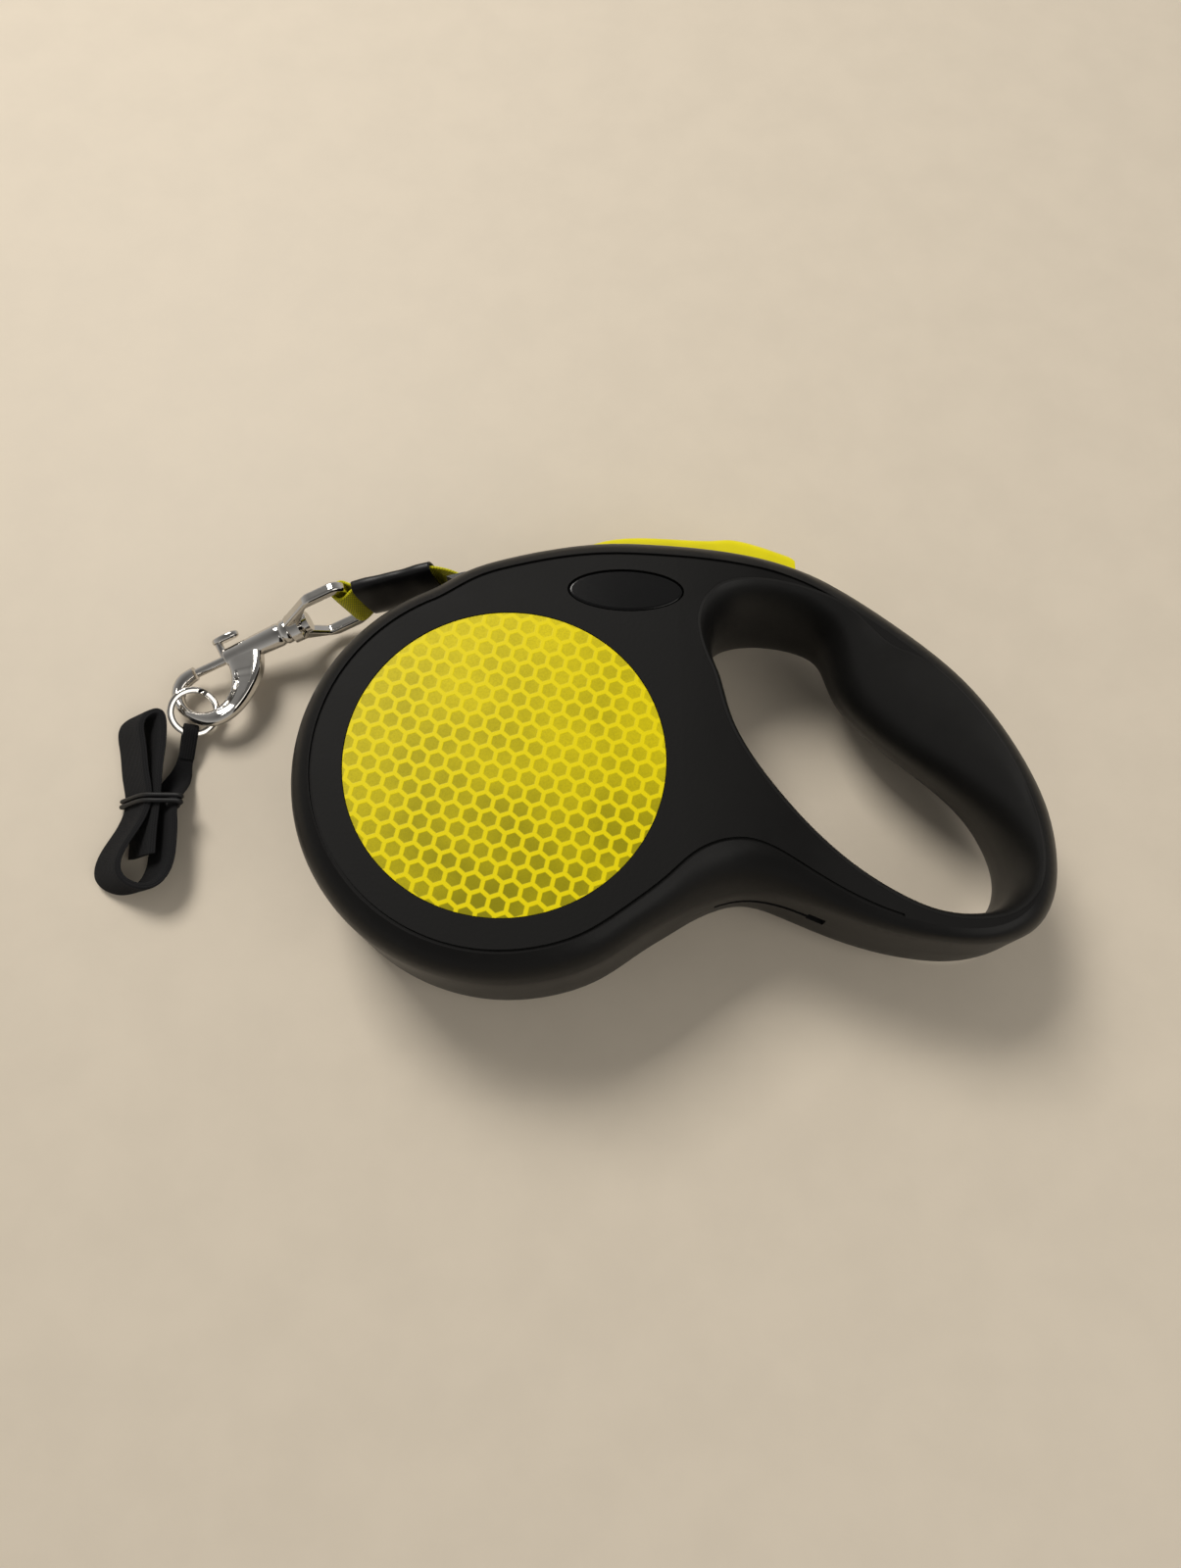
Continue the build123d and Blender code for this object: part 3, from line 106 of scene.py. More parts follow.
@dataclass(frozen=True)
class Signal:
    """One output socket of a shader node, which arithmetic can be written with."""

    graph: "Graph"
    socket: bpy.types.NodeSocket

    __add__ = __radd__ = operation("ADD")
    __sub__ = operation("SUBTRACT")
    __rsub__ = operation("SUBTRACT", swapped=True)
    __mul__ = __rmul__ = operation("MULTIPLY")
    __mod__ = operation("FLOORED_MODULO")
    __abs__ = operation("ABSOLUTE")
    least = operation("MINIMUM")
    most = operation("MAXIMUM")
    sine = operation("SINE")

    def wave(self, length: float) -> "Signal":
        """Hump from 0 to 1 and back over each length: (1 - cos(2 pi s / length)) / 2."""
        return 0.5 - (self * (2 * math.pi / length) + math.pi / 2).sine() * 0.5

    def ramp(self, start: float, end: float) -> "Signal":
        """Smooth rise from 0 at start to 1 at end.

        Args:
            start: value where the rise begins.
            end: value where it ends; smaller than start for a fall.

        Returns:
            A signal between 0 and 1.
        """
        inputs = {0: self, 1: min(start, end), 2: max(start, end)}
        rise = self.graph.node("ShaderNodeMapRange", inputs, interpolation_type="SMOOTHSTEP")
        return rise if end > start else 1 - rise


Value = Union[Signal, float]


class Graph:
    """Node tree of a material or a world, with its shader."""

    def __init__(self, tree: bpy.types.ShaderNodeTree,
                 shader: str = "ShaderNodeBsdfPrincipled",
                 output: str = "ShaderNodeOutputMaterial") -> None:
        """Empties the tree and puts the shader and the output in."""
        self.tree = tree
        tree.nodes.clear()
        self.shader = tree.nodes.new(shader)
        end = tree.nodes.new(output)
        tree.links.new(self.shader.outputs[0], end.inputs[0])

    def node(self, kind: str, inputs: Optional[Dict[Any, Any]] = None,
             output: Union[int, str] = 0, **settings: Any) -> Signal:
        """Adds any node.

        Args:
            kind: Blender's type name.
            inputs: values or signals by socket name or number.
            output: name or number of the wanted output.
            settings: the node's own settings, which are set first.

        Returns:
            The wanted output.
        """
        made = self.tree.nodes.new(kind)
        for name, value in settings.items():
            setattr(made, name, value)
        for key, value in (inputs or {}).items():
            if isinstance(value, Signal):
                self.tree.links.new(value.socket, made.inputs[key])
            else:
                made.inputs[key].default_value = value
        return Signal(self, made.outputs[output])

    def place(self) -> Signal:
        """Object coordinates, in metres."""
        return self.node("ShaderNodeTexCoord", output="Object")

    def surface_uv(self) -> Signal:
        """The piece's own UV map, in metres along and across."""
        return self.node("ShaderNodeUVMap", uv_map="surface")

    def split(self, vector: Signal) -> Tuple[Signal, ...]:
        """X, Y and Z of a vector."""
        made = self.node("ShaderNodeSeparateXYZ", {0: vector}).socket.node
        return tuple(Signal(self, socket) for socket in made.outputs)

    def facing(self) -> Signal:
        """Size of the surface normal's Z."""
        return abs(self.split(self.node("ShaderNodeNewGeometry", output="Normal"))[2])

    def mapped(self, vector: Signal, scale: Point, turn: float = 0.0) -> Signal:
        """Coordinates scaled along each axis after a turn about Z.

        Args:
            vector: the coordinates.
            scale: factor along X, Y and Z.
            turn: degrees about Z.

        Returns:
            The new coordinates.
        """
        inputs = {"Vector": vector, "Scale": scale, "Rotation": (0, 0, math.radians(turn))}
        return self.node("ShaderNodeMapping", inputs)

    def noise(self, vector: Signal, scale: float, detail: float = 2.0,
              rough: float = 0.5) -> Signal:
        """Noise around 0.5.

        Args:
            vector: the coordinates.
            scale: blotches per metre.
            detail: octaves.
            rough: weight of the finer octaves.

        Returns:
            The noise value.
        """
        inputs = {"Vector": vector, "Scale": scale, "Detail": detail, "Roughness": rough}
        return self.node("ShaderNodeTexNoise", inputs)

    def cells(self, vector: Signal, scale: float) -> Signal:
        """Distance to the nearest point of a random cell pattern."""
        inputs = {"Vector": vector, "Scale": scale}
        return self.node("ShaderNodeTexVoronoi", inputs, "Distance")

    def blend(self, amount: Value, low: Union[Signal, Colour],
              high: Union[Signal, Colour]) -> Signal:
        """Colour between two colours.

        Args:
            amount: 0 for the first, 1 for the second.
            low: first colour.
            high: second colour.

        Returns:
            The mixed colour.
        """
        ends = [end if isinstance(end, Signal) else (*end, 1.0) for end in (low, high)]
        inputs = {0: amount, 6: ends[0], 7: ends[1]}
        return self.node("ShaderNodeMix", inputs, 2, data_type="RGBA", clamp_factor=True)

    def feed(self, name: str, value: Signal) -> None:
        """Links a signal to one of the shader's sockets."""
        self.tree.links.new(value.socket, self.shader.inputs[name])

    def relief(self, height: Signal, depth: float) -> None:
        """Bumps the surface: height 1 stands depth millimetres above height 0."""
        inputs = {"Strength": 1.0, "Distance": depth * MM, "Height": height}
        self.feed("Normal", self.node("ShaderNodeBump", inputs))


# ---- finishes


def shade(colour: Colour, factor: float) -> Colour:
    """Colour made lighter or darker by a factor."""
    return tuple(min(channel * factor, 1.0) for channel in colour)


@dataclass(frozen=True)
class Finish:
    """A surface finish: its constants, and in the classes below its pattern."""

    name: str
    colour: Colour
    roughness: float = 0.5
    metallic: float = 0.0
    specular: float = 0.5
    coat: float = 0.0
    coat_roughness: float = 0.1
    sheen: float = 0.0

    def material(self) -> bpy.types.Material:
        """The finish as a Blender material, made once."""
        made = bpy.data.materials.get("finish_" + self.name)
        if made is not None:
            return made
        made = bpy.data.materials.new("finish_" + self.name)
        made.use_nodes = True
        made.diffuse_color = (*self.colour, 1.0)
        graph = Graph(made.node_tree)
        constants = {
            "Base Color": (*self.colour, 1.0), "Roughness": self.roughness,
            "Metallic": self.metallic, "Specular IOR Level": self.specular,
            "Coat Weight": self.coat, "Coat Roughness": self.coat_roughness,
            "Sheen Weight": self.sheen,
        }
        for socket, value in constants.items():
            graph.shader.inputs[socket].default_value = value
        self.pattern(graph)
        return made

    def pattern(self, graph: Graph) -> None:
        """Adds what changes over the surface; each kind of finish has its own."""


@dataclass(frozen=True)
class MouldedPlastic(Finish):
    """Moulded plastic or rubber: a fine spark-eroded grain and faint broad mottling."""

    grain: float = 0.35
    grain_depth: float = 0.012
    mottle: float = 0.10
    blotches: float = 55.0
    gloss_change: float = 0.06

    def fine_grain(self, graph: Graph) -> Signal:
        """Fine noise of one blotch per grain size."""
        return graph.noise(graph.place(), 1 / (self.grain * MM), 3.0, 0.6)

    def mottling(self, graph: Graph, broad: Signal, spread: float) -> Signal:
        """The colour darker and lighter by the mottle, over a spread of noise about 0.5."""
        tones = [shade(self.colour, 1 + side * self.mottle) for side in (-1, 1)]
        return graph.blend(broad.ramp(0.5 - spread, 0.5 + spread), *tones)

    def pattern(self, graph: Graph) -> None:
        """Grain bumps the surface, and broad noise changes its tone and gloss."""
        fine = self.fine_grain(graph)
        broad = graph.noise(graph.place(), self.blotches, 3.0, 0.6)
        graph.feed("Base Color", self.mottling(graph, broad, 0.25))
        graph.feed("Roughness", self.roughness + (broad - 0.5) * self.gloss_change * 2
                   + (fine - 0.5) * self.gloss_change)
        graph.relief(fine, self.grain_depth)


@dataclass(frozen=True)
class ShellPlastic(MouldedPlastic):
    """Housing plastic: satin walls, and flat faces with a coarser, duller leather-like grain."""

    blotches: float = 45.0
    gloss_change: float = 0.16
    face_levels: Pair = (0.985, 0.998)
    face_roughness: float = 0.62
    face_grain: float = 0.9
    rub_spots: float = 260.0
    rub_tone: float = 1.7
    rub_strength: float = 0.35

    def pattern(self, graph: Graph) -> None:
        """Face = 1 where the normal is upright; the grain there is cells, elsewhere fine noise."""
        place = graph.place()
        face = graph.facing().ramp(*self.face_levels)
        fine = self.fine_grain(graph)
        leather = graph.cells(place, 1 / (self.face_grain * MM))
        broad = graph.noise(place, self.blotches, 4.0, 0.6)
        rubbed = graph.noise(place, self.rub_spots).ramp(0.55, 0.8) * (1 - face)
        tint = self.mottling(graph, broad, 0.2)
        rub_colour = shade(self.colour, self.rub_tone)
        graph.feed("Base Color", graph.blend(rubbed * self.rub_strength, tint, rub_colour))
        wall = self.roughness + (broad - 0.5) * self.gloss_change
        graph.feed("Roughness", wall + (self.face_roughness - self.roughness) * face)
        graph.relief(fine * (1 - face) * 0.5 + leather * face * 0.7 + fine * face * 0.3,
                     self.grain_depth)


@dataclass(frozen=True)
class HoneycombFilm(Finish):
    """Reflective film: hexagonal cells of a darker tone in a bright web."""

    pitch: float = 4.2
    web: float = 0.80
    web_blur: Pair = (0.24, -0.06)
    web_height: float = 0.02
    turn: float = 12.0
    cell_colour: Colour = (0.235, 0.210, 0.002)
    pale_cell: Colour = (0.64, 0.535, 0.002)
    # painted sheen: cells grow paler toward the top of the disc, standing in for light from above;
    # pale_cell is also the tone of the random blotches
    painted_sheen_ends: Pair = (-40.0, 38.0)
    painted_sheen_strength: float = 0.72
    blotches: float = 60.0
    blotch_strength: float = 0.38
    facets: float = 2600.0
    facet_strength: float = 0.22
    facet_gloss: float = 0.12

    def pattern(self, graph: Graph) -> None:
        """Two lattices, half a cell apart, give each point its nearest cell centre.

        The web is where half the pitch less the hexagonal distance is small. Cells grow
        paler toward the top, a painted sheen of light falling from above, and in broad
        random blotches, and fine facets mottle them.
        """
        across, up = self.pitch * MM, self.pitch * MM * math.sqrt(3)
        place = graph.place()
        x, y, _ = graph.split(graph.mapped(place, (1, 1, 1), self.turn))
        inner = self._edge(x % across - across / 2, y % up - up / 2)
        shifted = self._edge((x + across / 2) % across - across / 2,
                             (y + up / 2) % up - up / 2)
        edge = across / 2 - inner.least(shifted)
        web = edge.ramp(*[(self.web / 2 + blur) * MM for blur in self.web_blur])
        # painted sheen: cells lighter toward the top, where the light falls, plus random pale
        # blotches
        painted_sheen = graph.split(place)[1].ramp(*[end * MM for end in self.painted_sheen_ends])
        broad = graph.noise(place, self.blotches).ramp(0.30, 0.72)
        facets = graph.noise(place, self.facets, 2.0, 0.6)
        sheen_and_blotches = painted_sheen * self.painted_sheen_strength + broad * self.blotch_strength
        cell = graph.blend(sheen_and_blotches, self.cell_colour, self.pale_cell)
        cell = graph.blend(facets.ramp(0.35, 0.75) * self.facet_strength, cell,
                           shade(self.cell_colour, 0.75))
        graph.feed("Base Color", graph.blend(web, cell, self.colour))
        graph.feed("Roughness", self.roughness + (facets - 0.5) * self.facet_gloss * (1 - web))
        graph.relief(web, self.web_height)

    @staticmethod
    def _edge(x: Signal, y: Signal) -> Signal:
        """Hexagonal distance from a cell's centre: max(|x|, |x| / 2 + |y| sqrt(3) / 2)."""
        return abs(x).most(abs(x) * 0.5 + abs(y) * (math.sqrt(3) / 2))


@dataclass(frozen=True)
class Metal(Finish):
    """Bare or plated metal with hairline scratches and faint clouding."""

    metallic: float = 1.0
    scratch: float = 0.004
    scratch_scale: Point = (300.0, 2600.0, 2600.0)
    clouding: float = 0.05
    clouds: float = 180.0
    cloud_tone: float = 0.93

    def pattern(self, graph: Graph) -> None:
        """Scratches are noise stretched along X, clouding is broad noise in the roughness."""
        place = graph.place()
        lines = graph.noise(graph.mapped(place, self.scratch_scale), 1.0, 2.0, 0.6)
        cloud = graph.noise(place, self.clouds, 3.0, 0.6)
        dull = shade(self.colour, self.cloud_tone)
        graph.feed("Base Color", graph.blend(cloud.ramp(0.3, 0.7), dull, self.colour))
        graph.feed("Roughness", self.roughness + (cloud - 0.5) * self.clouding * 2
                   + (lines - 0.5) * self.clouding)
        graph.relief(lines, self.scratch)


class Weave(Enum):
    """How a tape's or a strap's threads cross."""

    HERRINGBONE = "herringbone"
    PLAIN = "plain"
    BRAID = "braid"


@dataclass(frozen=True)
class Woven(Finish):
    """Woven or braided threads, following the piece's own surface map."""

    weave: Weave = Weave.PLAIN
    thread: float = 0.7
    depth: float = 0.08
    fuzz: float = 0.25
    fibres: float = 9000.0
    wear_spots: float = 130.0
    wear_strength: float = 0.2
    # painted shade in the gaps between threads and painted highlight on their crowns
    painted_gap_shade: float = 0.45
    painted_crown_highlight: float = 1.12
    worn_tone: float = 1.35

    def threads(self, graph: Graph) -> Signal:
        """Thread height: a hump across each thread, crossed by the weave's own rule."""
        along, across, _ = graph.split(graph.surface_uv())
        size = self.thread * MM
        if self.weave is Weave.HERRINGBONE:
            side = abs(across % (8 * size) - 4 * size)
            ribs = across.wave(size) * 0.65
            return ribs + (along + side * 0.9).wave(size * 1.1) * 0.55
        if self.weave is Weave.BRAID:
            return (along + across).wave(size).most((along - across).wave(size))
        over = (along + size * 0.5).wave(size) * (across * 0.5).wave(size)
        under = along.wave(size) * (across * 0.5 + size / 2).wave(size)
        return over.most(under)

    def pattern(self, graph: Graph) -> None:
        """Threads and fibres bump the surface; gaps get painted shade, crowns a painted
        highlight, and worn spots are pale.
        """
        threads = self.threads(graph)
        fibres = graph.noise(graph.surface_uv(), self.fibres, 2.0, 0.7)
        height = threads * (1 - self.fuzz) + fibres * self.fuzz
        worn = graph.noise(graph.surface_uv(), self.wear_spots).ramp(0.5, 0.8)
        # thread colour: painted shade in the gaps, painted highlight on the crowns
        tint = graph.blend(height.ramp(0.15, 0.95), shade(self.colour, self.painted_gap_shade),
                           shade(self.colour, self.painted_crown_highlight))
        graph.feed("Base Color", graph.blend(worn * self.wear_strength, tint,
                                             shade(self.colour, self.worn_tone)))
        graph.feed("Roughness", self.roughness + (fibres - 0.5) * 0.2)
        graph.relief(height, self.depth)


SHELL = ShellPlastic("shell", (0.0052, 0.0050, 0.0048), 0.36, specular=0.13, grain=0.30,
                     grain_depth=0.02)
GRIP = MouldedPlastic("grip", (0.0072, 0.0069, 0.0065), 0.40, specular=0.26, grain=0.22,
                      grain_depth=0.010)
FILM = HoneycombFilm("film", (0.71, 0.59, 0.002), 0.40, specular=0.10)
BADGE = MouldedPlastic("badge", (0.0040, 0.0040, 0.0042), 0.22, specular=0.14, coat=0.18,
                       grain=2.5, grain_depth=0.004, mottle=0.05, gloss_change=0.02)
OUTLET = MouldedPlastic("outlet", (0.0075, 0.0075, 0.0078), 0.36, specular=0.25, grain=0.4,
                        grain_depth=0.01)
NYLON = MouldedPlastic("nylon", (0.74, 0.73, 0.69), 0.42, grain=0.6, grain_depth=0.01,
                       mottle=0.05)
NEON = MouldedPlastic("neon", (0.66, 0.58, 0.004), 0.36, specular=0.2, grain=0.5,
                      grain_depth=0.006, mottle=0.06)
SLEEVE = MouldedPlastic("sleeve", (0.0065, 0.0065, 0.0068), 0.34, specular=0.20, grain=2.4,
                        mottle=0.08, gloss_change=0.05)
ZINC = Metal("zinc", (0.62, 0.62, 0.63), 0.32, scratch=0.012, clouding=0.10)
SPRING = Metal("spring", (0.30, 0.32, 0.37), 0.28, scratch=0.008, clouding=0.08)
CHROME = Metal("chrome", (0.60, 0.58, 0.55), 0.08, scratch=0.002, clouding=0.03)
WEBBING = Woven("webbing", (0.0070, 0.0070, 0.0078), 0.80, specular=0.16, sheen=0.02,
                weave=Weave.HERRINGBONE, thread=0.62, depth=0.16)
TAPE = Woven("tape", (0.78, 0.72, 0.008), 0.60, specular=0.2, sheen=0.05, thread=0.6,
             depth=0.12)
ELASTIC = Woven("elastic", (0.0085, 0.0085, 0.0090), 0.45, specular=0.3,
                weave=Weave.BRAID, thread=0.5, depth=0.05, fuzz=0.15)
TABLE = MouldedPlastic("table", (0.60, 0.53, 0.43), 0.55, specular=0.2, grain=1.6,
                       grain_depth=0.02, mottle=0.02, gloss_change=0.05)


# ---- surfaces


def unit(rows: Array) -> Array:
    """Each row scaled to length 1."""
    return rows / np.linalg.norm(rows, axis=-1, keepdims=True)


def ease(share: Array) -> Array:
    """Smooth rise 3 s^2 - 2 s^3 of the share s, which is held between 0 and 1."""
    share = np.clip(share, 0, 1)
    return share * share * (3 - 2 * share)


def full_turn(count: int) -> Array:
    """Even angles round one turn."""
    return np.linspace(0, 2 * math.pi, count, endpoint=False)


def squared_circle(angle: Array, power: Union[float, Array]) -> Tuple[Array, ...]:
    """Point of |x|^p + |y|^p = 1 at each angle a: x = |cos a|^(2 / p), y = |sin a|^(2 / p).

    Args:
        angle: angles in radians.
        power: squareness of the corners; 2 gives a circle.

    Returns:
        The x values and the y values, with the signs of the cosine and the sine.
    """
    return tuple(np.sign(side) * np.abs(side) ** (2 / power)
                 for side in (np.cos(angle), np.sin(angle)))


def step_lengths(points: Array) -> Array:
    """Distance from each point of a polyline to the next."""
    return np.linalg.norm(np.diff(points, axis=0), axis=1)


def running(steps: Array) -> Array:
    """Running sum of the steps, from 0."""
    return np.concatenate([[0.0], np.cumsum(steps)])


def smooth_run(knots: Array, count: int) -> Array:
    """Evenly spaced points of the natural cubic curve through the knots.

    Over the chord length t, each coordinate is the cubic whose second derivatives m
    solve h[i-1] m[i-1] + 2 (h[i-1] + h[i]) m[i] + h[i] m[i+1] = 6 (slope[i] - slope[i-1]),
    with m = 0 at both ends.

    Args:
        knots: rows of coordinates that the curve passes through.
        count: number of points to return.

    Returns:
        Points at even steps of arc length.
    """
    step = step_lengths(knots)
    total = running(step)
    size = len(knots)
    system = np.eye(size)
    rows = np.arange(1, size - 1)
    system[rows, rows - 1] = step[:-1]
    system[rows, rows] = 2 * (step[:-1] + step[1:])
    system[rows, rows + 1] = step[1:]
    slope = np.diff(knots, axis=0) / step[:, None]
    right = np.zeros_like(knots)
    right[1:-1] = 6 * np.diff(slope, axis=0)
    bend = np.linalg.solve(system, right)
    t = np.linspace(0, total[-1], SPLINE_STEPS * size)
    span = np.clip(np.searchsorted(total, t, side="right") - 1, 0, size - 2)
    h = step[span][:, None]
    a, b = (total[span + 1] - t)[:, None], (t - total[span])[:, None]
    fine = (bend[span] * a ** 3 + bend[span + 1] * b ** 3) / (6 * h)
    fine = fine + (knots[span] / h - bend[span] * h / 6) * a
    fine = fine + (knots[span + 1] / h - bend[span + 1] * h / 6) * b
    return even_points(fine, count)


def even_points(points: Array, count: int) -> Array:
    """Points at even steps of arc length along a polyline."""
    reach = running(step_lengths(points))
    wanted = np.linspace(0, reach[-1], count)
    return np.stack([np.interp(wanted, reach, column) for column in points.T], axis=1)


@dataclass(frozen=True)
class Band:
    """Section of a flat band: |x / half width|^p + |y / half thickness|^p = 1.

    The power p is the squareness of its corners; 2 gives an ellipse.
    """

    width: float
    thickness: float
    count: int
    power: float = 2.0

    def outline(self) -> Array:
        """Closed rows of (x, y), anticlockwise at even steps."""
        x, y = squared_circle(full_turn(self.count), self.power)
        corners = np.stack([x * self.width / 2, y * self.thickness / 2], 1)
        return even_points(np.append(corners, corners[:1], axis=0), self.count + 1)[:-1]


def sweep(route: Array, across: Array, up: Array, outline: Array) -> Array:
    """Outline carried along a route: P[i, j] = route[i] + x[j] across[i] + y[j] up[i].

    Args:
        route: rows of points.
        across: direction of the outline's x at each point, or one for all.
        up: direction of the outline's y at each point, or one for all.
        outline: rows of (x, y), or one such array for each point of the route.

    Returns:
        Grid of points, route by outline.
    """
    across = np.broadcast_to(across, route.shape)
    up = np.broadcast_to(up, route.shape)
    x, y = outline[..., 0:1], outline[..., 1:2]
    return route[:, None] + x * across[:, None] + y * up[:, None]


def ribbon(route: Array, wanted: Union[Point, Array], band: Band) -> Array:
    """Band swept square to a route: x runs along the wanted direction less its part
    along the tangent, and y along the cross product of the tangent with that.

    Args:
        route: rows of points.
        wanted: a direction that is never along the route, or one for each point.
        band: the section.

    Returns:
        Grid of points, route by outline.
    """
    tangent = unit(np.gradient(route, axis=0))
    across = unit(wanted - tangent * np.sum(tangent * wanted, axis=1, keepdims=True))
    return sweep(route, across, np.cross(tangent, across), band.outline())


@dataclass(frozen=True)
class Seat:
    """A place and its three directions; local (x, y, z) there is origin + x X + y Y + z Z."""

    origin: Point
    x: Point
    y: Point
    z: Point

    def put(self, points: Array) -> Array:
        """Local points carried to the seat."""
        return np.array(self.origin) + points @ unit(np.array([self.x, self.y, self.z]))


def add_object(name: str, data: bpy.types.ID) -> Piece:
    """Makes an object of a mesh, camera or lamp and puts it in the scene."""
    made = bpy.data.objects.new(name, data)
    bpy.context.scene.collection.objects.link(made)
    return made


@dataclass
class Skin:
    """A closed mesh over a grid of points, in millimetres, whose columns wrap round.

    The grid's rows follow each other along the piece; loop joins the last to the first.
    """

    name: str
    grid: Array
    loop: bool = False

    def surface_map(self) -> Array:
        """Metres along and round the piece at each grid point, one column more than the grid."""
        along = running(step_lengths(self.grid.mean(axis=1)))
        wrapped = np.concatenate([self.grid, self.grid[:, :1]], axis=1)
        around = running(np.linalg.norm(np.diff(wrapped, axis=1), axis=2).mean(axis=0))
        if self.loop:
            along = np.append(along, along[-1] + np.mean(np.diff(along)))
        return np.stack(np.meshgrid(along, around, indexing="ij"), axis=2) * MM

    def build(self, finish: Finish) -> Piece:
        """Makes the object: quads between the rows and a many-sided face at each open end.

        Args:
            finish: the finish it gets.

        Returns:
            The dressed object.
        """
        rows, columns = self.grid.shape[:2]
        spans = rows if self.loop else rows - 1
        i, j = np.meshgrid(np.arange(spans), np.arange(columns), indexing="ij")
        i, j = i.ravel(), j.ravel()
        corners = [(i, j), (i + 1, j), (i + 1, j + 1), (i, j + 1)]
        quads = np.stack([(a % rows) * columns + b % columns for a, b in corners], axis=1)
        table = self.surface_map()
        points = self.grid.reshape(-1, 3) * MM
        way = -1 if self._volume(points, quads) < 0 else 1
        faces = quads[:, ::way].tolist()
        maps = [np.stack([table[a, b] for a, b in corners[::way]], axis=1).reshape(-1, 2)]
        if not self.loop:
            for row, turn in ((0, way), (rows - 1, -way)):
                faces.append((row * columns + np.arange(columns))[::turn].tolist())
                maps.append(table[row, :columns][::turn])
        mesh = bpy.data.meshes.new(self.name)
        mesh.from_pydata(points.tolist(), [], faces)
        layer = mesh.uv_layers.new(name="surface")
        layer.data.foreach_set("uv", np.concatenate(maps).astype(np.float32).ravel())
        mesh.shade_smooth()
        mesh.set_sharp_from_angle(angle=math.radians(SHARP_EDGE))
        mesh.validate()
        made = add_object(self.name, mesh)
        dress(made, finish)
        return made

    @staticmethod
    def _volume(points: Array, quads: Array) -> float:
        """Six times the volume inside: the sum of a . (b x c) over the quads' triangles."""
        a, b, c, d = (points[quads[:, k]] for k in range(4))
        return float(np.sum(a * (np.cross(b, c) + np.cross(c, d))))


def dress(piece: Piece, finish: Finish) -> None:
    """Gives a piece one finish all over."""
    piece.data.materials.clear()
    piece.data.materials.append(finish.material())
    log.info("%s: finish %s, %d faces", piece.name, finish.name, len(piece.data.polygons))


# ---- sub-assemblies


@dataclass
class Case:
    """Housing, grip, labels and the hidden mechanism, which keep their solids."""

    nodes: Dict[str, Piece]

    FINISHES: ClassVar[Dict[str, Finish]] = {
        "left_shell": SHELL, "right_shell": SHELL, "left_grip": GRIP, "right_grip": GRIP,
        "left_label_disc": FILM, "right_label_disc": FILM, "left_badge": BADGE,
        "right_badge": BADGE, "leash_outlet": OUTLET, "case_screws": ZINC, "axle": ZINC,
        "axle_screw": ZINC, "left_washer": NYLON, "right_washer": NYLON,
        "brake_spring": SPRING, "accessory_catch": ZINC, "drum": NYLON,
        "ratchet_flange": NYLON, "spring_cover": NYLON, "power_spring": SPRING,
        "brake_slide": NYLON, "brake_button": NEON,
    }

    def dress(self) -> None:
        """Gives each node its finish."""
        for name, finish in self.FINISHES.items():
            dress(self.nodes[name], finish)


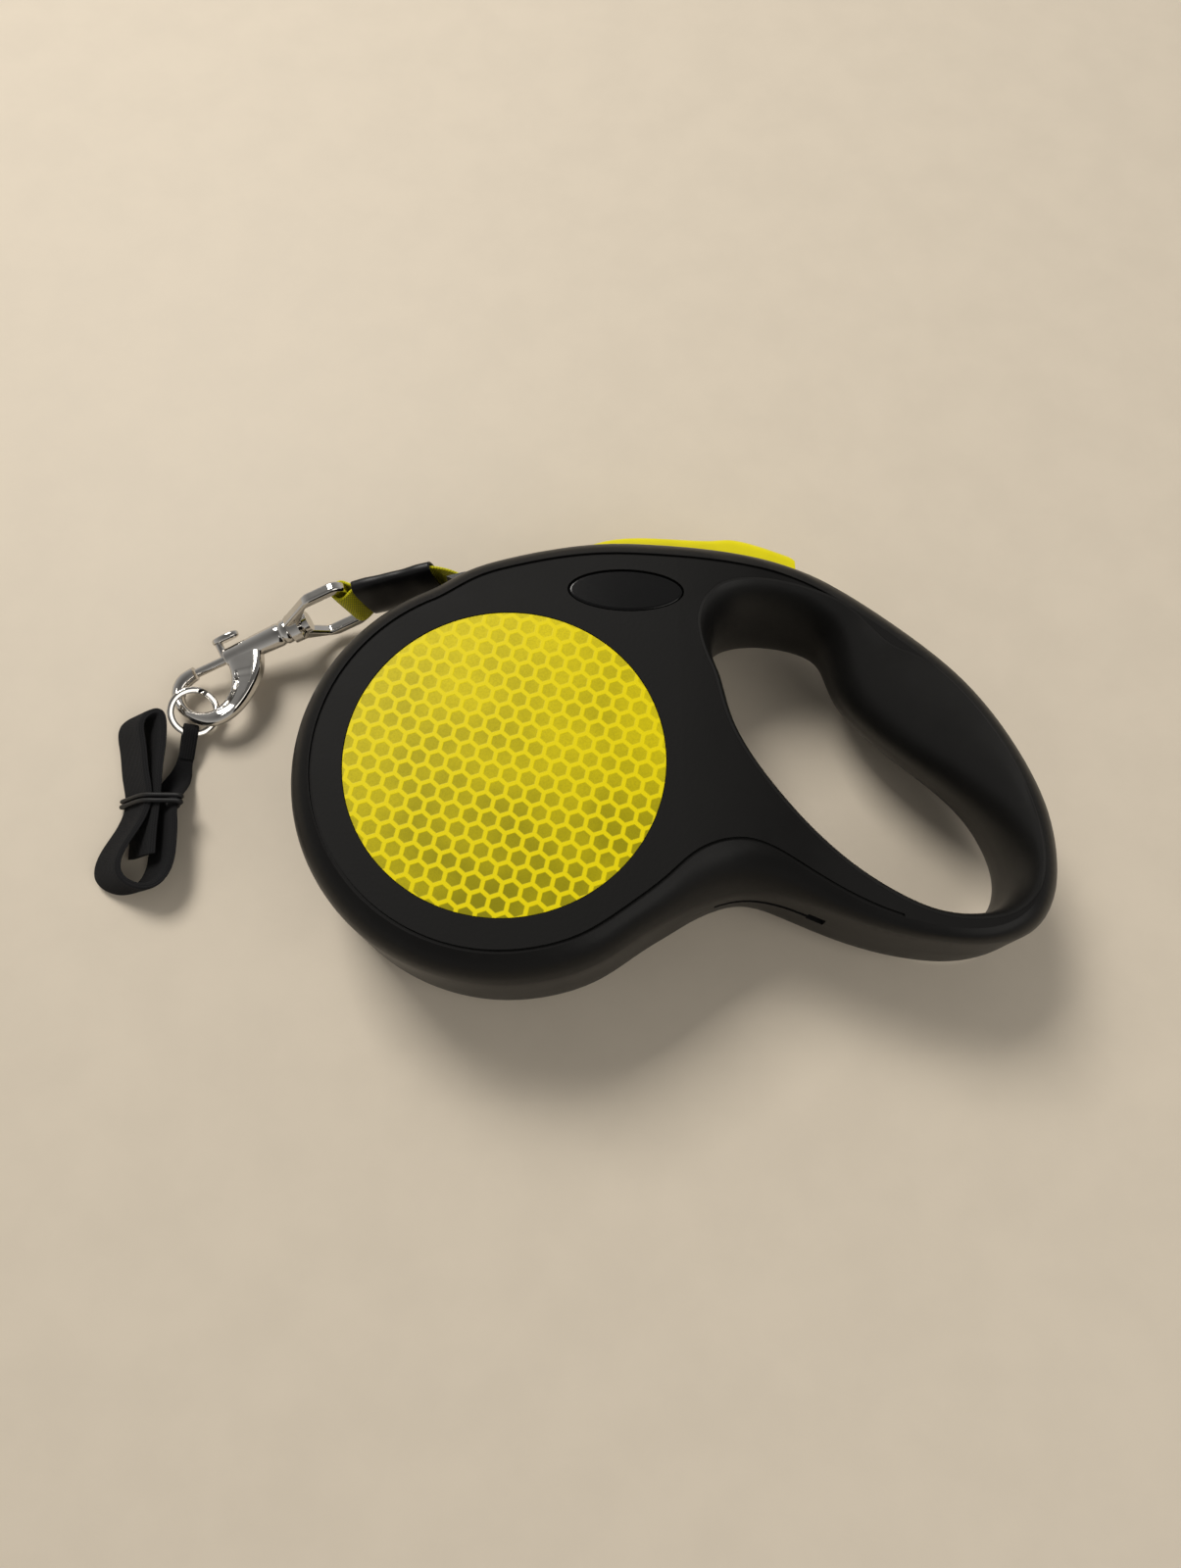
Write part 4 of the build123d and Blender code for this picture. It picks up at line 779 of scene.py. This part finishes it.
@dataclass
class SnapHook:
    """Swivel eye, hook, bolt and the two-coil ring on it.

    The hook's own frame has x along the barrel toward the tip and y toward the belly.
    The barrel's profile is (x, radius). The limb lies between the outer and inner edge.
    """

    nodes: Dict[str, Piece]
    body: Seat = Seat((-59.335, 46.400, 11.056), (-0.911, -0.363, -0.196),
                      (0.356, -0.932, 0.068), (-0.208, -0.008, 0.978))
    bore: float = 1.5
    shoulder: Pair = (11.5, 2.85)
    barrel: Outline = (
        (2.06, 0.02), (2.06, 1.12), (0.02, 1.12), (0.0, 2.7), (0.12, 2.98), (0.42, 3.16),
        (0.8, 3.24), (1.7, 3.24), (2.05, 3.15), (2.3, 2.98), (2.6, 2.93), (2.9, 3.02),
        (3.3, 3.12), (4.5, 3.11), (8.0, 2.98), shoulder, (shoulder[0], bore), (2.62, bore),
        (2.62, 0.02),
    )
    barrel_round: int = 72
    mouth: Pair = (19.0, 2.6)
    mouth_mesh: Counts = (14, 56)
    lip_length: float = 0.5
    lip_drop: float = 0.4
    lip_stations: Tuple[float, ...] = (0.75, 0.5, 0.25, 0.1, 0.0)
    slot_turn: float = 157.0
    slot_width: float = 2.4
    outer: Outline = (
        (9.0, 1.5), (10.6, 7.4), (14.5, 12.2), (20.4, 16.2), (26.5, 16.9),
        (32.0, 13.6), (35.6, 8.0), (35.7, 2.6), (32.4, -1.3), (28.3, -1.9),
    )
    inner: Outline = (
        (18.7, 1.5), (18.6, 4.0), (19.3, 8.2), (22.0, 11.6), (26.0, 12.8),
        (30.0, 11.3), (32.6, 8.0), (32.8, 4.6), (31.0, 2.6), (28.3, 1.7),
    )
    limb_mesh: Counts = (200, 128)
    limb_height: float = 4.0
    limb_taper: float = 0.15
    nose_power: float = 2.1
    root_power: float = 5.0
    root_share: float = 0.55
    panel_sink: float = 1.05
    panel_side: Pair = (0.62, 0.16)
    panel_start: Pair = (0.10, 0.05)
    panel_end: Pair = (0.46, 0.14)
    ring_seat: Seat = Seat(RING_CENTRE, (0.910, 0.196, -0.367), (0.0, 0.882, 0.470),
                           (0.416, -0.428, 0.803))
    ring_radius: float = 5.7
    ring_steps: int = 360
    wire: Band = Band(1.64, 0.98, 24, 3.0)
    coil_rise: float = 1.06
    coil_ends: Pair = (6.0, 714.0)
    coil_step: Pair = (340.0, 40.0)
    coil_turn: float = 60.0

    def dress(self) -> None:
        """Gives the metal nodes their finishes."""
        for name in ("swivel_eye", "swivel_pin", "hook_bolt"):
            dress(self.nodes[name], CHROME)
        dress(self.nodes["bolt_spring"], SPRING)

    def build_barrel(self) -> Piece:
        """Turned barrel with its collar, groove, pin hole and bore.

        P(s, a) = (x(s), r(s) cos a, r(s) sin a), where (x, r) runs along the profile.

        Returns:
            The barrel.
        """
        profile = np.array(self.barrel)
        angle = full_turn(self.barrel_round)
        x = np.repeat(profile[:, :1], len(angle), axis=1)
        y, z = profile[:, 1:] * np.cos(angle), profile[:, 1:] * np.sin(angle)
        return Skin("hook_barrel", self.body.put(np.stack([x, y, z], axis=2))).build(CHROME)

    def build_mouth(self) -> Piece:
        """Open part of the barrel, whose slot lets the bolt's stem through.

        The section is the outer arc of radius R(x) and back along the bore's arc, both
        ending at the slot's two parallel walls, at asin(slot / (2 r)) from its middle.
        R falls evenly to the mouth, and its last lip_length is rounded.

        Returns:
            The mouth.
        """
        (start, radius), (end, end_radius) = self.shoulder, self.mouth
        x = np.concatenate([np.linspace(start, end - self.lip_length, self.mouth_mesh[0]),
                            end - self.lip_length * np.array(self.lip_stations)])
        lip = np.clip((x - end + self.lip_length) / self.lip_length, 0, 1)
        outside = radius + (end_radius - radius) * (x - start) / (end - start)
        outside = outside - self.lip_drop * (1 - np.sqrt(1 - lip * lip))
        bore = np.full_like(x, self.bore)
        section = np.concatenate([self._slotted(outside), self._slotted(bore)[:, ::-1]], axis=1)
        along = np.repeat(x[:, None, None], section.shape[1], axis=1)
        grid = np.concatenate([along, section], axis=2)
        return Skin("hook_mouth", self.body.put(grid)).build(CHROME)

    def _slotted(self, radius: Array) -> Array:
        """Arc of each radius, from one wall of the slot round to the other."""
        half = np.arcsin(self.slot_width / 2 / radius)[:, None]
        turn = np.linspace(0, 1, self.mouth_mesh[1])[None, :]
        angle = math.radians(self.slot_turn) + half + turn * (2 * math.pi - 2 * half)
        return np.stack([np.cos(angle), np.sin(angle)], axis=2) * radius[:, None, None]

    def build_limb(self) -> Piece:
        """Crescent from the barrel round to the nose, with a sunk panel on each side.

        At share t along it the section is |a|^p + |z / h|^p = 1, where a runs from -1 to 1
        between the edges, p falls from root_power to nose_power over root_share, and h is
        half the height. The faces sink by panel_sink within the panel's side, start and
        end, each of them a place and the length of its rounded step.

        Returns:
            The crescent.
        """
        count, around = self.limb_mesh
        outer, inner = (smooth_run(np.array(edge), count) for edge in (self.outer, self.inner))
        t = np.linspace(0, 1, count)[:, None]
        square = np.clip(1 - t / self.root_share, 0, 1) ** 1.5
        power = self.nose_power + (self.root_power - self.nose_power) * square
        across, rise = squared_circle(full_turn(around), power)
        (side, side_step), (start, start_step), (end, end_step) = (
            self.panel_side, self.panel_start, self.panel_end)
        reach = np.clip((t - start) / start_step, 0, 1) * np.clip((end - t) / end_step, 0, 1)
        sink = self.panel_sink * ease((side - np.abs(across)) / side_step) * ease(reach)
        half = self.limb_height / 2 - self.limb_taper * t
        z = rise * half - np.sign(rise) * np.minimum(np.abs(rise) * half, sink)
        middle, spread = (outer + inner) / 2, (outer - inner) / 2
        plan = middle[:, None] + across[..., None] * spread[:, None]
        grid = np.concatenate([plan, z[..., None]], axis=2)
        return Skin("hook_limb", self.body.put(grid)).build(CHROME)

    def build_body(self) -> None:
        """Builds the hook's three pieces, which stand for the solid hook."""
        pieces = [self.build_limb(), self.build_barrel(), self.build_mouth()]
        for piece in pieces:
            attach(piece, "hook")
        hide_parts("hook_body")

    def build_ring(self) -> None:
        """Ring wound from flat wire, two turns with a step between them.

        At turn a the wire's middle is (R cos a, R sin a, h(a)), where h rises from
        -rise / 2 to rise / 2 over coil_step, which is a start and a length.
        """
        turn = np.linspace(*self.coil_ends, self.ring_steps)
        start, length = self.coil_step
        height = (ease((turn - start) / length) - 0.5) * self.coil_rise
        angle = np.radians(turn + self.coil_turn)
        across = np.stack([np.cos(angle), np.sin(angle), np.zeros_like(angle)], 1)
        route = across * self.ring_radius
        route[:, 2] = height
        grid = sweep(route, across, np.array(UPRIGHT), self.wire.outline())
        ring = Skin("coiled_ring", self.ring_seat.put(grid)).build(CHROME)
        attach(ring, "split_ring")
        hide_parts("split_ring")


@dataclass
class FoldedStrap:
    """Webbing strap folded into two loops, its narrow strand and the elastic round its waist.

    The knots are the strap's lower edge in plan, and the waist is the tie's left and right
    side and its place in Y, all from the ring's middle. Past the share gather the strap
    narrows and turns into the strand.
    """

    band: Band = Band(11.0, 1.16, 132, 7.0)
    lean: float = 50.0
    lift: float = 1.6
    knots: Outline = (
        (-13.0, -38.8), (-13.4, -31.0), (-13.5, -24.3), (-13.9, -16.5), (-14.2, -6.0),
        (-16.5, -0.9), (-19.4, -2.2), (-19.3, -8.8), (-17.2, -17.8), (-15.7, -24.3),
        (-17.5, -31.8), (-20.6, -38.3), (-20.8, -43.3), (-17.0, -46.6), (-11.5, -46.6),
        (-8.8, -43.3), (-8.0, -36.8), (-8.6, -29.8), (-9.1, -24.3), (-7.4, -19.6),
        (-4.6, -15.6), (-3.24, -11.3),
    )
    run_steps: int = 420
    rib: float = 0.62
    rib_height: float = 0.05
    rib_room: float = 0.96
    gather: float = 0.86
    gathered_rise: Point = (0.888, 0.0, -0.460)
    gathered_lift: float = 3.70
    strand_seat: Seat = Seat((-85.366, 20.077, 3.641), (-0.197, -0.904, -0.380),
                             (0.416, -0.428, 0.803), (-0.888, 0.0, 0.460))
    strand_width: float = 3.8
    strand: Band = Band(strand_width - TRIM, 0.92, 56, 6.0)
    strand_steps: int = 90
    wire_half: Pair = (0.85, 1.1)
    wire_room: float = 0.56
    waist: Tuple[float, float, float] = (-15.7, -9.1, -24.3)
    cord: Band = Band(1.15, 1.15, 16)
    cord_steps: int = 320
    cord_samples: int = 340
    cord_pitch: float = 1.25
    cord_room: Pair = (1.05, 0.75)
    table_room: float = 0.15
    knot_size: float = 0.50
    knot_cord: Band = Band(0.85, 0.85, 14)
    knot_steps: int = 150
    knot_gap: float = 0.25
    knot_offset: Point = (0.55, 0.0, 0.6)

    def gathering(self, count: int) -> Array:
        """0 along the strap, rising smoothly to 1 over the part that gathers to the strand."""
        share = np.linspace(0, 1, count)[:, None]
        return ease((share - self.gather) / (1 - self.gather))

    def route(self, count: int) -> Array:
        """The strap's lower edge: flat above the table, then up to the strand."""
        run = smooth_run(np.array(self.knots) + np.array(RING_CENTRE[:2]), count)
        lift = self.lift + (self.gathered_lift - self.lift) * self.gathering(count)
        return np.column_stack([run, lift])

    def flat_size(self) -> Pair:
        """Width and length of the webbing before it was folded, in metres."""
        return self.band.width * MM, float(step_lengths(self.route(FINE_STEPS)).sum()) * MM

    def build_webbing(self) -> Piece:
        """Ribbed band along the run, its width along the leaning rise.

        The outline's x runs along the rise and its y along the run's normal in plan, and
        its thickness swells with cos(2 pi x / rib). Over the gathered part the rise and the
        width turn to the strand's, and the normal to the cross product of rise and run.

        Returns:
            The webbing.
        """
        route, share = self.route(self.run_steps), self.gathering(self.run_steps)
        tangent, lean = unit(np.gradient(route, axis=0)), math.radians(self.lean)
        leaning = np.array([math.sin(lean), 0.0, math.cos(lean)])
        rise = unit(leaning * (1 - share) + np.array(self.gathered_rise) * share)
        level = np.cross(UPRIGHT, tangent) / math.cos(lean)
        normal = level * (1 - share) + unit(np.cross(rise, tangent)) * share
        outline, width = self.band.outline(), self.band.width
        ribs = 1 + self.rib_height * np.cos(2 * math.pi * outline[:, 0] / self.rib)
        narrow = 1 + (self.strand_width / width - 1) * share
        across = (outline[:, 0] + width / 2) * narrow
        thick = np.broadcast_to(outline[:, 1] * ribs * self.rib_room, across.shape)
        grid = sweep(route, rise, normal, np.stack([across, thick], axis=2))
        webbing = Skin("strap_webbing", grid).build(WEBBING)
        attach(webbing, "strap")
        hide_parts("collar_strap")
        return webbing

    def build_strand(self) -> Piece:
        """Narrow strand looped round the ring's wire, its width along the ring's tangent."""
        near = math.hypot(*self.wire_half) + self.wire_room
        turn = 0.72 * near
        knots = np.array([
            (6.6, near + 0.5), (4.0, near + 0.3), (0.8, near), (-turn, turn), (-near, 0),
            (-turn, -turn), (0.8, -near), (4.0, -0.3 * near), (6.6, 0.55 * near),
        ])
        route = smooth_run(np.pad(knots, ((0, 0), (0, 1))), self.strand_steps)
        grid = self.strand_seat.put(ribbon(route, UPRIGHT, self.strand))
        strand = Skin("ring_strand", grid).build(WEBBING)
        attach(strand, "strap")
        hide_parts("strap_strand")
        return strand

    def build_tie(self) -> List[Piece]:
        """Elastic cord, two turns round the waist, with its knot.

        Each turn is a rounded parallelogram in the X-Z plane, a superellipse of power 5
        sheared by the strap's lean, and it rises by one pitch of the cord in Y over its
        length.

        Returns:
            The turns and the knot.
        """
        left, right, across = self.waist
        centre = np.array(RING_CENTRE)
        lean = math.radians(self.lean)
        high = self.band.width * math.cos(lean)
        wide = right - left + self.band.thickness / math.cos(lean)
        turn = np.linspace(0, 4 * math.pi, self.cord_samples)
        x, z = squared_circle(turn, 5.0)
        x, z = x * (wide / 2 + self.cord_room[0]), z * (high / 2 + self.cord_room[1])
        route = np.stack([
            centre[0] + (left + right) / 2 + x + (z + high / 2) * math.tan(lean),
            centre[1] + across + (turn / (2 * math.pi) - 1) * self.cord.width * self.cord_pitch,
            self.lift + high / 2 + z,
        ], axis=1)
        route = even_points(route, self.cord_steps)
        route[:, 2] = np.maximum(route[:, 2], self.cord.width / 2 + self.table_room)
        grid = ribbon(route, (0.0, 1.0, 0.0), self.cord)
        pieces = [Skin("tie_turns", grid).build(ELASTIC),
                  Skin("tie_knot", self._knot_grid(route[0])).build(ELASTIC)]
        for piece in pieces:
            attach(piece, "strap")
        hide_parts("strap_tie")
        return pieces

    def _knot_grid(self, place: Array) -> Array:
        """Overhand knot: x = r (sin t + 2 sin 2t), y = r (cos t - 2 cos 2t), z = -r sin 3t."""
        t = np.linspace(self.knot_gap, 2 * math.pi - self.knot_gap, self.knot_steps)
        route = self.knot_size * np.stack([np.sin(t) + 2 * np.sin(2 * t),
                                           np.cos(t) - 2 * np.cos(2 * t), -np.sin(3 * t)], 1)
        route = route + place + np.array(self.knot_offset)
        return ribbon(route, (0.05, 0.1, 1.0), self.knot_cord)

    def build(self) -> None:
        webbing = self.build_webbing()
        pieces = [self.build_strand()] + self.build_tie()
        self.flat_size()


@dataclass
class LeashTape:
    """Tape from the winding through the outlet to the sleeve, and its loop round the eye's bar.

    It leaves the winding at start along heading. In the sleeve's frame x runs along the
    tape, away from the case, and z along its width.
    """

    nodes: Dict[str, Piece]
    start: Point = (18.814, 36.940, 20.0)
    heading: Point = (-0.891, 0.454, 0.0)
    run: float = 32.376
    outlet_length: float = 3.0
    tuck: Pair = (0.18, 0.35)
    sleeve: Seat = Seat((-19.393, 56.399, 20.0), (-0.964, -0.144, -0.222),
                        (0.163, -0.984, -0.068), (-0.208, -0.102, 0.973))
    band: Band = Band(15.0 - TRIM, 0.72, 80, 8.0)
    lead_steps: int = 180
    bar: Point = (-43.118, 52.853, 14.550)
    loop_radius: float = 2.4
    loop_bend: float = 128.0
    loop_side: float = 0.52
    loop_reach: float = 3.6
    loop_tail: float = 0.55
    loop_arc: int = 15
    loop_steps: int = 150
    sleeve_length: float = 21.2
    sleeve_width: float = 17.4
    sleeve_thickness: float = 4.8
    sleeve_wall: float = 0.95
    sleeve_mesh: Counts = (48, 96)
    lip_steps: int = 9
    waist_depth: float = 0.22
    waist_place: Pair = (0.45, 0.22)
    ripple: float = 0.05
    ripples: float = 3.0
    wall_powers: Pair = (2.8, 4.8)

    def build_lead(self) -> None:
        """Flat tape: straight off the winding, then bending into the sleeve.

        Its route is the natural cubic through its places, and its width turns smoothly
        from upright to the sleeve's own.
        """
        start, heading = np.array(self.start), np.array(self.heading)
        origin, inward = np.array(self.sleeve.origin), np.array(self.sleeve.x)
        first = start + heading * (self.run + self.outlet_length)
        gap = np.linalg.norm(origin - first)
        middle = (first + origin) / 2 + (heading - inward) * gap / 8
        ends = [origin + inward * self.sleeve_length * share for share in self.tuck]
        knots = np.array([start, start + heading * self.run / 2, first, middle, origin, *ends])
        route = smooth_run(knots, self.lead_steps)
        share = ease((route[:, :1] - first[0]) / (origin[0] - first[0]))
        wanted = np.array(UPRIGHT) * (1 - share) + np.array(self.sleeve.z) * share
        tape = Skin("tape_run", ribbon(route, wanted, self.band)).build(TAPE)
        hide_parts("tape_lead")
        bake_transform(tape)

    def build_loop(self) -> None:
        """Tape round the eye's bar: out of the sleeve, half a turn round the bar, and back in.

        In the sleeve's frame the route is a straight run beside the middle, an arc of the
        loop's radius about the bar, and the same run mirrored.
        """
        bend = math.radians(self.loop_bend)
        turn = np.linspace(bend, -bend, self.loop_arc)
        arc = self.loop_radius * np.stack([np.cos(turn), np.sin(turn)], 1)
        tail = self.loop_tail * self.sleeve_length
        straight = -self.loop_reach - np.array([tail, tail / 2, 0.0])
        side = np.full(3, self.loop_side)
        knots = np.concatenate([np.stack([straight, side], 1), arc,
                                np.stack([straight, -side], 1)[::-1]])
        seat = Seat(self.bar, self.sleeve.x, self.sleeve.y, self.sleeve.z)
        route = smooth_run(np.pad(knots, ((0, 0), (0, 1))), self.loop_steps)
        loop = Skin("tape_bight", seat.put(ribbon(route, UPRIGHT, self.band))).build(TAPE)
        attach(loop, "leash_end")
        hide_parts("tape_loop")

    def build_sleeve(self) -> None:
        """Shrunk sleeve over the sewn end of the tape, with round lips and a faint waist.

        At share t along it the section is |y / (T / 2)|^p + |z / (W / 2)|^p = 1, pulled in
        by waist_depth exp(-((t - middle) / spread)^2) + ripple (1 + cos(2 pi t ripples)).
        The inner section is smaller by a wall and squarer, and half a circle joins the two
        at each lip.
        """
        lip = self.sleeve_wall / 2
        count, around = self.sleeve_mesh
        bend = np.linspace(-math.pi / 2, math.pi / 2, self.lip_steps)[1:-1]
        run = np.linspace(lip, self.sleeve_length - lip, count)
        far, near = self.sleeve_length - lip + lip * np.cos(bend), lip - lip * np.cos(bend)
        along = np.concatenate([run, far, run[::-1], near])
        depth = np.concatenate([np.zeros_like(run), lip + lip * np.sin(bend),
                                np.full_like(run, 2 * lip), lip - lip * np.sin(bend)])
        t, inward = along / self.sleeve_length, depth / (2 * lip)
        middle, spread = self.waist_place
        pull = self.waist_depth * np.exp(-((t - middle) / spread) ** 2)
        pull = pull + self.ripple * (1 + np.cos(2 * math.pi * self.ripples * t))
        inset = (depth + pull * np.clip(1 - inward, 0, 1))[:, None]
        outside, inside = self.wall_powers
        power = (outside + (inside - outside) * inward)[:, None]
        y, z = squared_circle(full_turn(around), power)
        y, z = y * (self.sleeve_thickness / 2 - inset), z * (self.sleeve_width / 2 - inset)
        x = np.repeat(along[:, None], around, axis=1)
        grid = self.sleeve.put(np.stack([x, y, z], axis=2))
        sleeve = Skin("tape_sleeve", grid, loop=True).build(SLEEVE)
        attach(sleeve, "leash_end")
        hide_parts("end_sleeve")

    def build(self) -> None:
        """Builds the tape's visible pieces and its sleeve, and dresses the winding."""
        self.build_lead()
        self.build_loop()
        self.build_sleeve()
        dress(self.nodes["tape_winding"], NEON)


# ---- studio


@dataclass(frozen=True)
class Lamp:
    """One square area lamp: its place, its side, its watts, its aim and its colour."""

    name: str
    place: Point
    side: float
    power: float
    aim: Point = (0.03, 0.0, 0.0)
    colour: Colour = (1.0, 0.965, 0.91)

    def build(self) -> None:
        """Adds the lamp, turned toward its aim."""
        data = bpy.data.lights.new(self.name, "AREA")
        data.size, data.energy, data.color = self.side, self.power, self.colour
        lamp = add_object(self.name, data)
        lamp.location = self.place
        away = lamp.location - type(lamp.location)(self.aim)
        lamp.rotation_euler = away.to_track_quat("Z", "Y").to_euler()


@dataclass
class Studio:
    """Floor, camera, world and lamps, in metres; lens and sensor are in millimetres."""

    lens: float = 24.75
    sensor: float = 36.0
    camera_place: Point = (0.01928, -0.08217, 0.26653)
    camera_tilt: float = 18.55
    clip_start: float = 0.01
    floor_half: float = 8.0
    sky: Colour = (1.0, 0.98, 0.95)
    horizon: float = 0.62
    zenith: float = 0.14
    lamps: Tuple[Lamp, ...] = (Lamp("key", (-0.42, 0.72, 1.00), 0.5, 14.0),
                               Lamp("fill", (0.65, -0.50, 0.70), 0.7, 3.0))

    def build_floor(self) -> None:
        """Plain table top under the leash."""
        half = self.floor_half
        mesh = bpy.data.meshes.new("table_top")
        mesh.from_pydata([(-half, -half, 0), (half, -half, 0), (half, half, 0),
                          (-half, half, 0)], [], [(0, 1, 2, 3)])
        table = add_object("table_top", mesh)
        dress(table, TABLE)

    def build_camera(self) -> None:
        """Camera over the leash, tilted back a little."""
        data = bpy.data.cameras.new("camera")
        data.lens, data.sensor_width, data.clip_start = self.lens, self.sensor, self.clip_start
        camera = add_object("camera", data)
        camera.location = self.camera_place
        camera.rotation_euler = (math.radians(self.camera_tilt), 0.0, 0.0)
        bpy.context.scene.camera = camera

    def build_light(self) -> None:
        """Soft key from the far left, a weaker fill, and a world that dims from the horizon up."""
        world = bpy.data.worlds.new("studio")
        world.use_nodes = True
        graph = Graph(world.node_tree, "ShaderNodeBackground", "ShaderNodeOutputWorld")
        graph.shader.inputs["Color"].default_value = (*self.sky, 1.0)
        toward = graph.node("ShaderNodeTexCoord", output="Generated")
        height = graph.split(toward)[2].most(0.0)
        graph.feed("Strength", self.horizon + height * (self.zenith - self.horizon))
        bpy.context.scene.world = world
        for lamp in self.lamps:
            lamp.build()

    def build(self) -> None:
        """Builds the whole studio."""
        bpy.context.scene.view_settings.view_transform = "Standard"
        self.build_camera()
        self.build_floor()
        self.build_light()


def main() -> None:
    """Builds the looks in order."""
    logging.basicConfig(level=logging.INFO, format="%(message)s")
    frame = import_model()
    nodes = frame["nodes"]
    Studio().build()
    Case(nodes).dress()
    hook = SnapHook(nodes)
    hook.dress()
    hook.build_body()
    hook.build_ring()
    FoldedStrap().build()
    LeashTape(nodes).build()


if __name__ == "__main__":
    main()
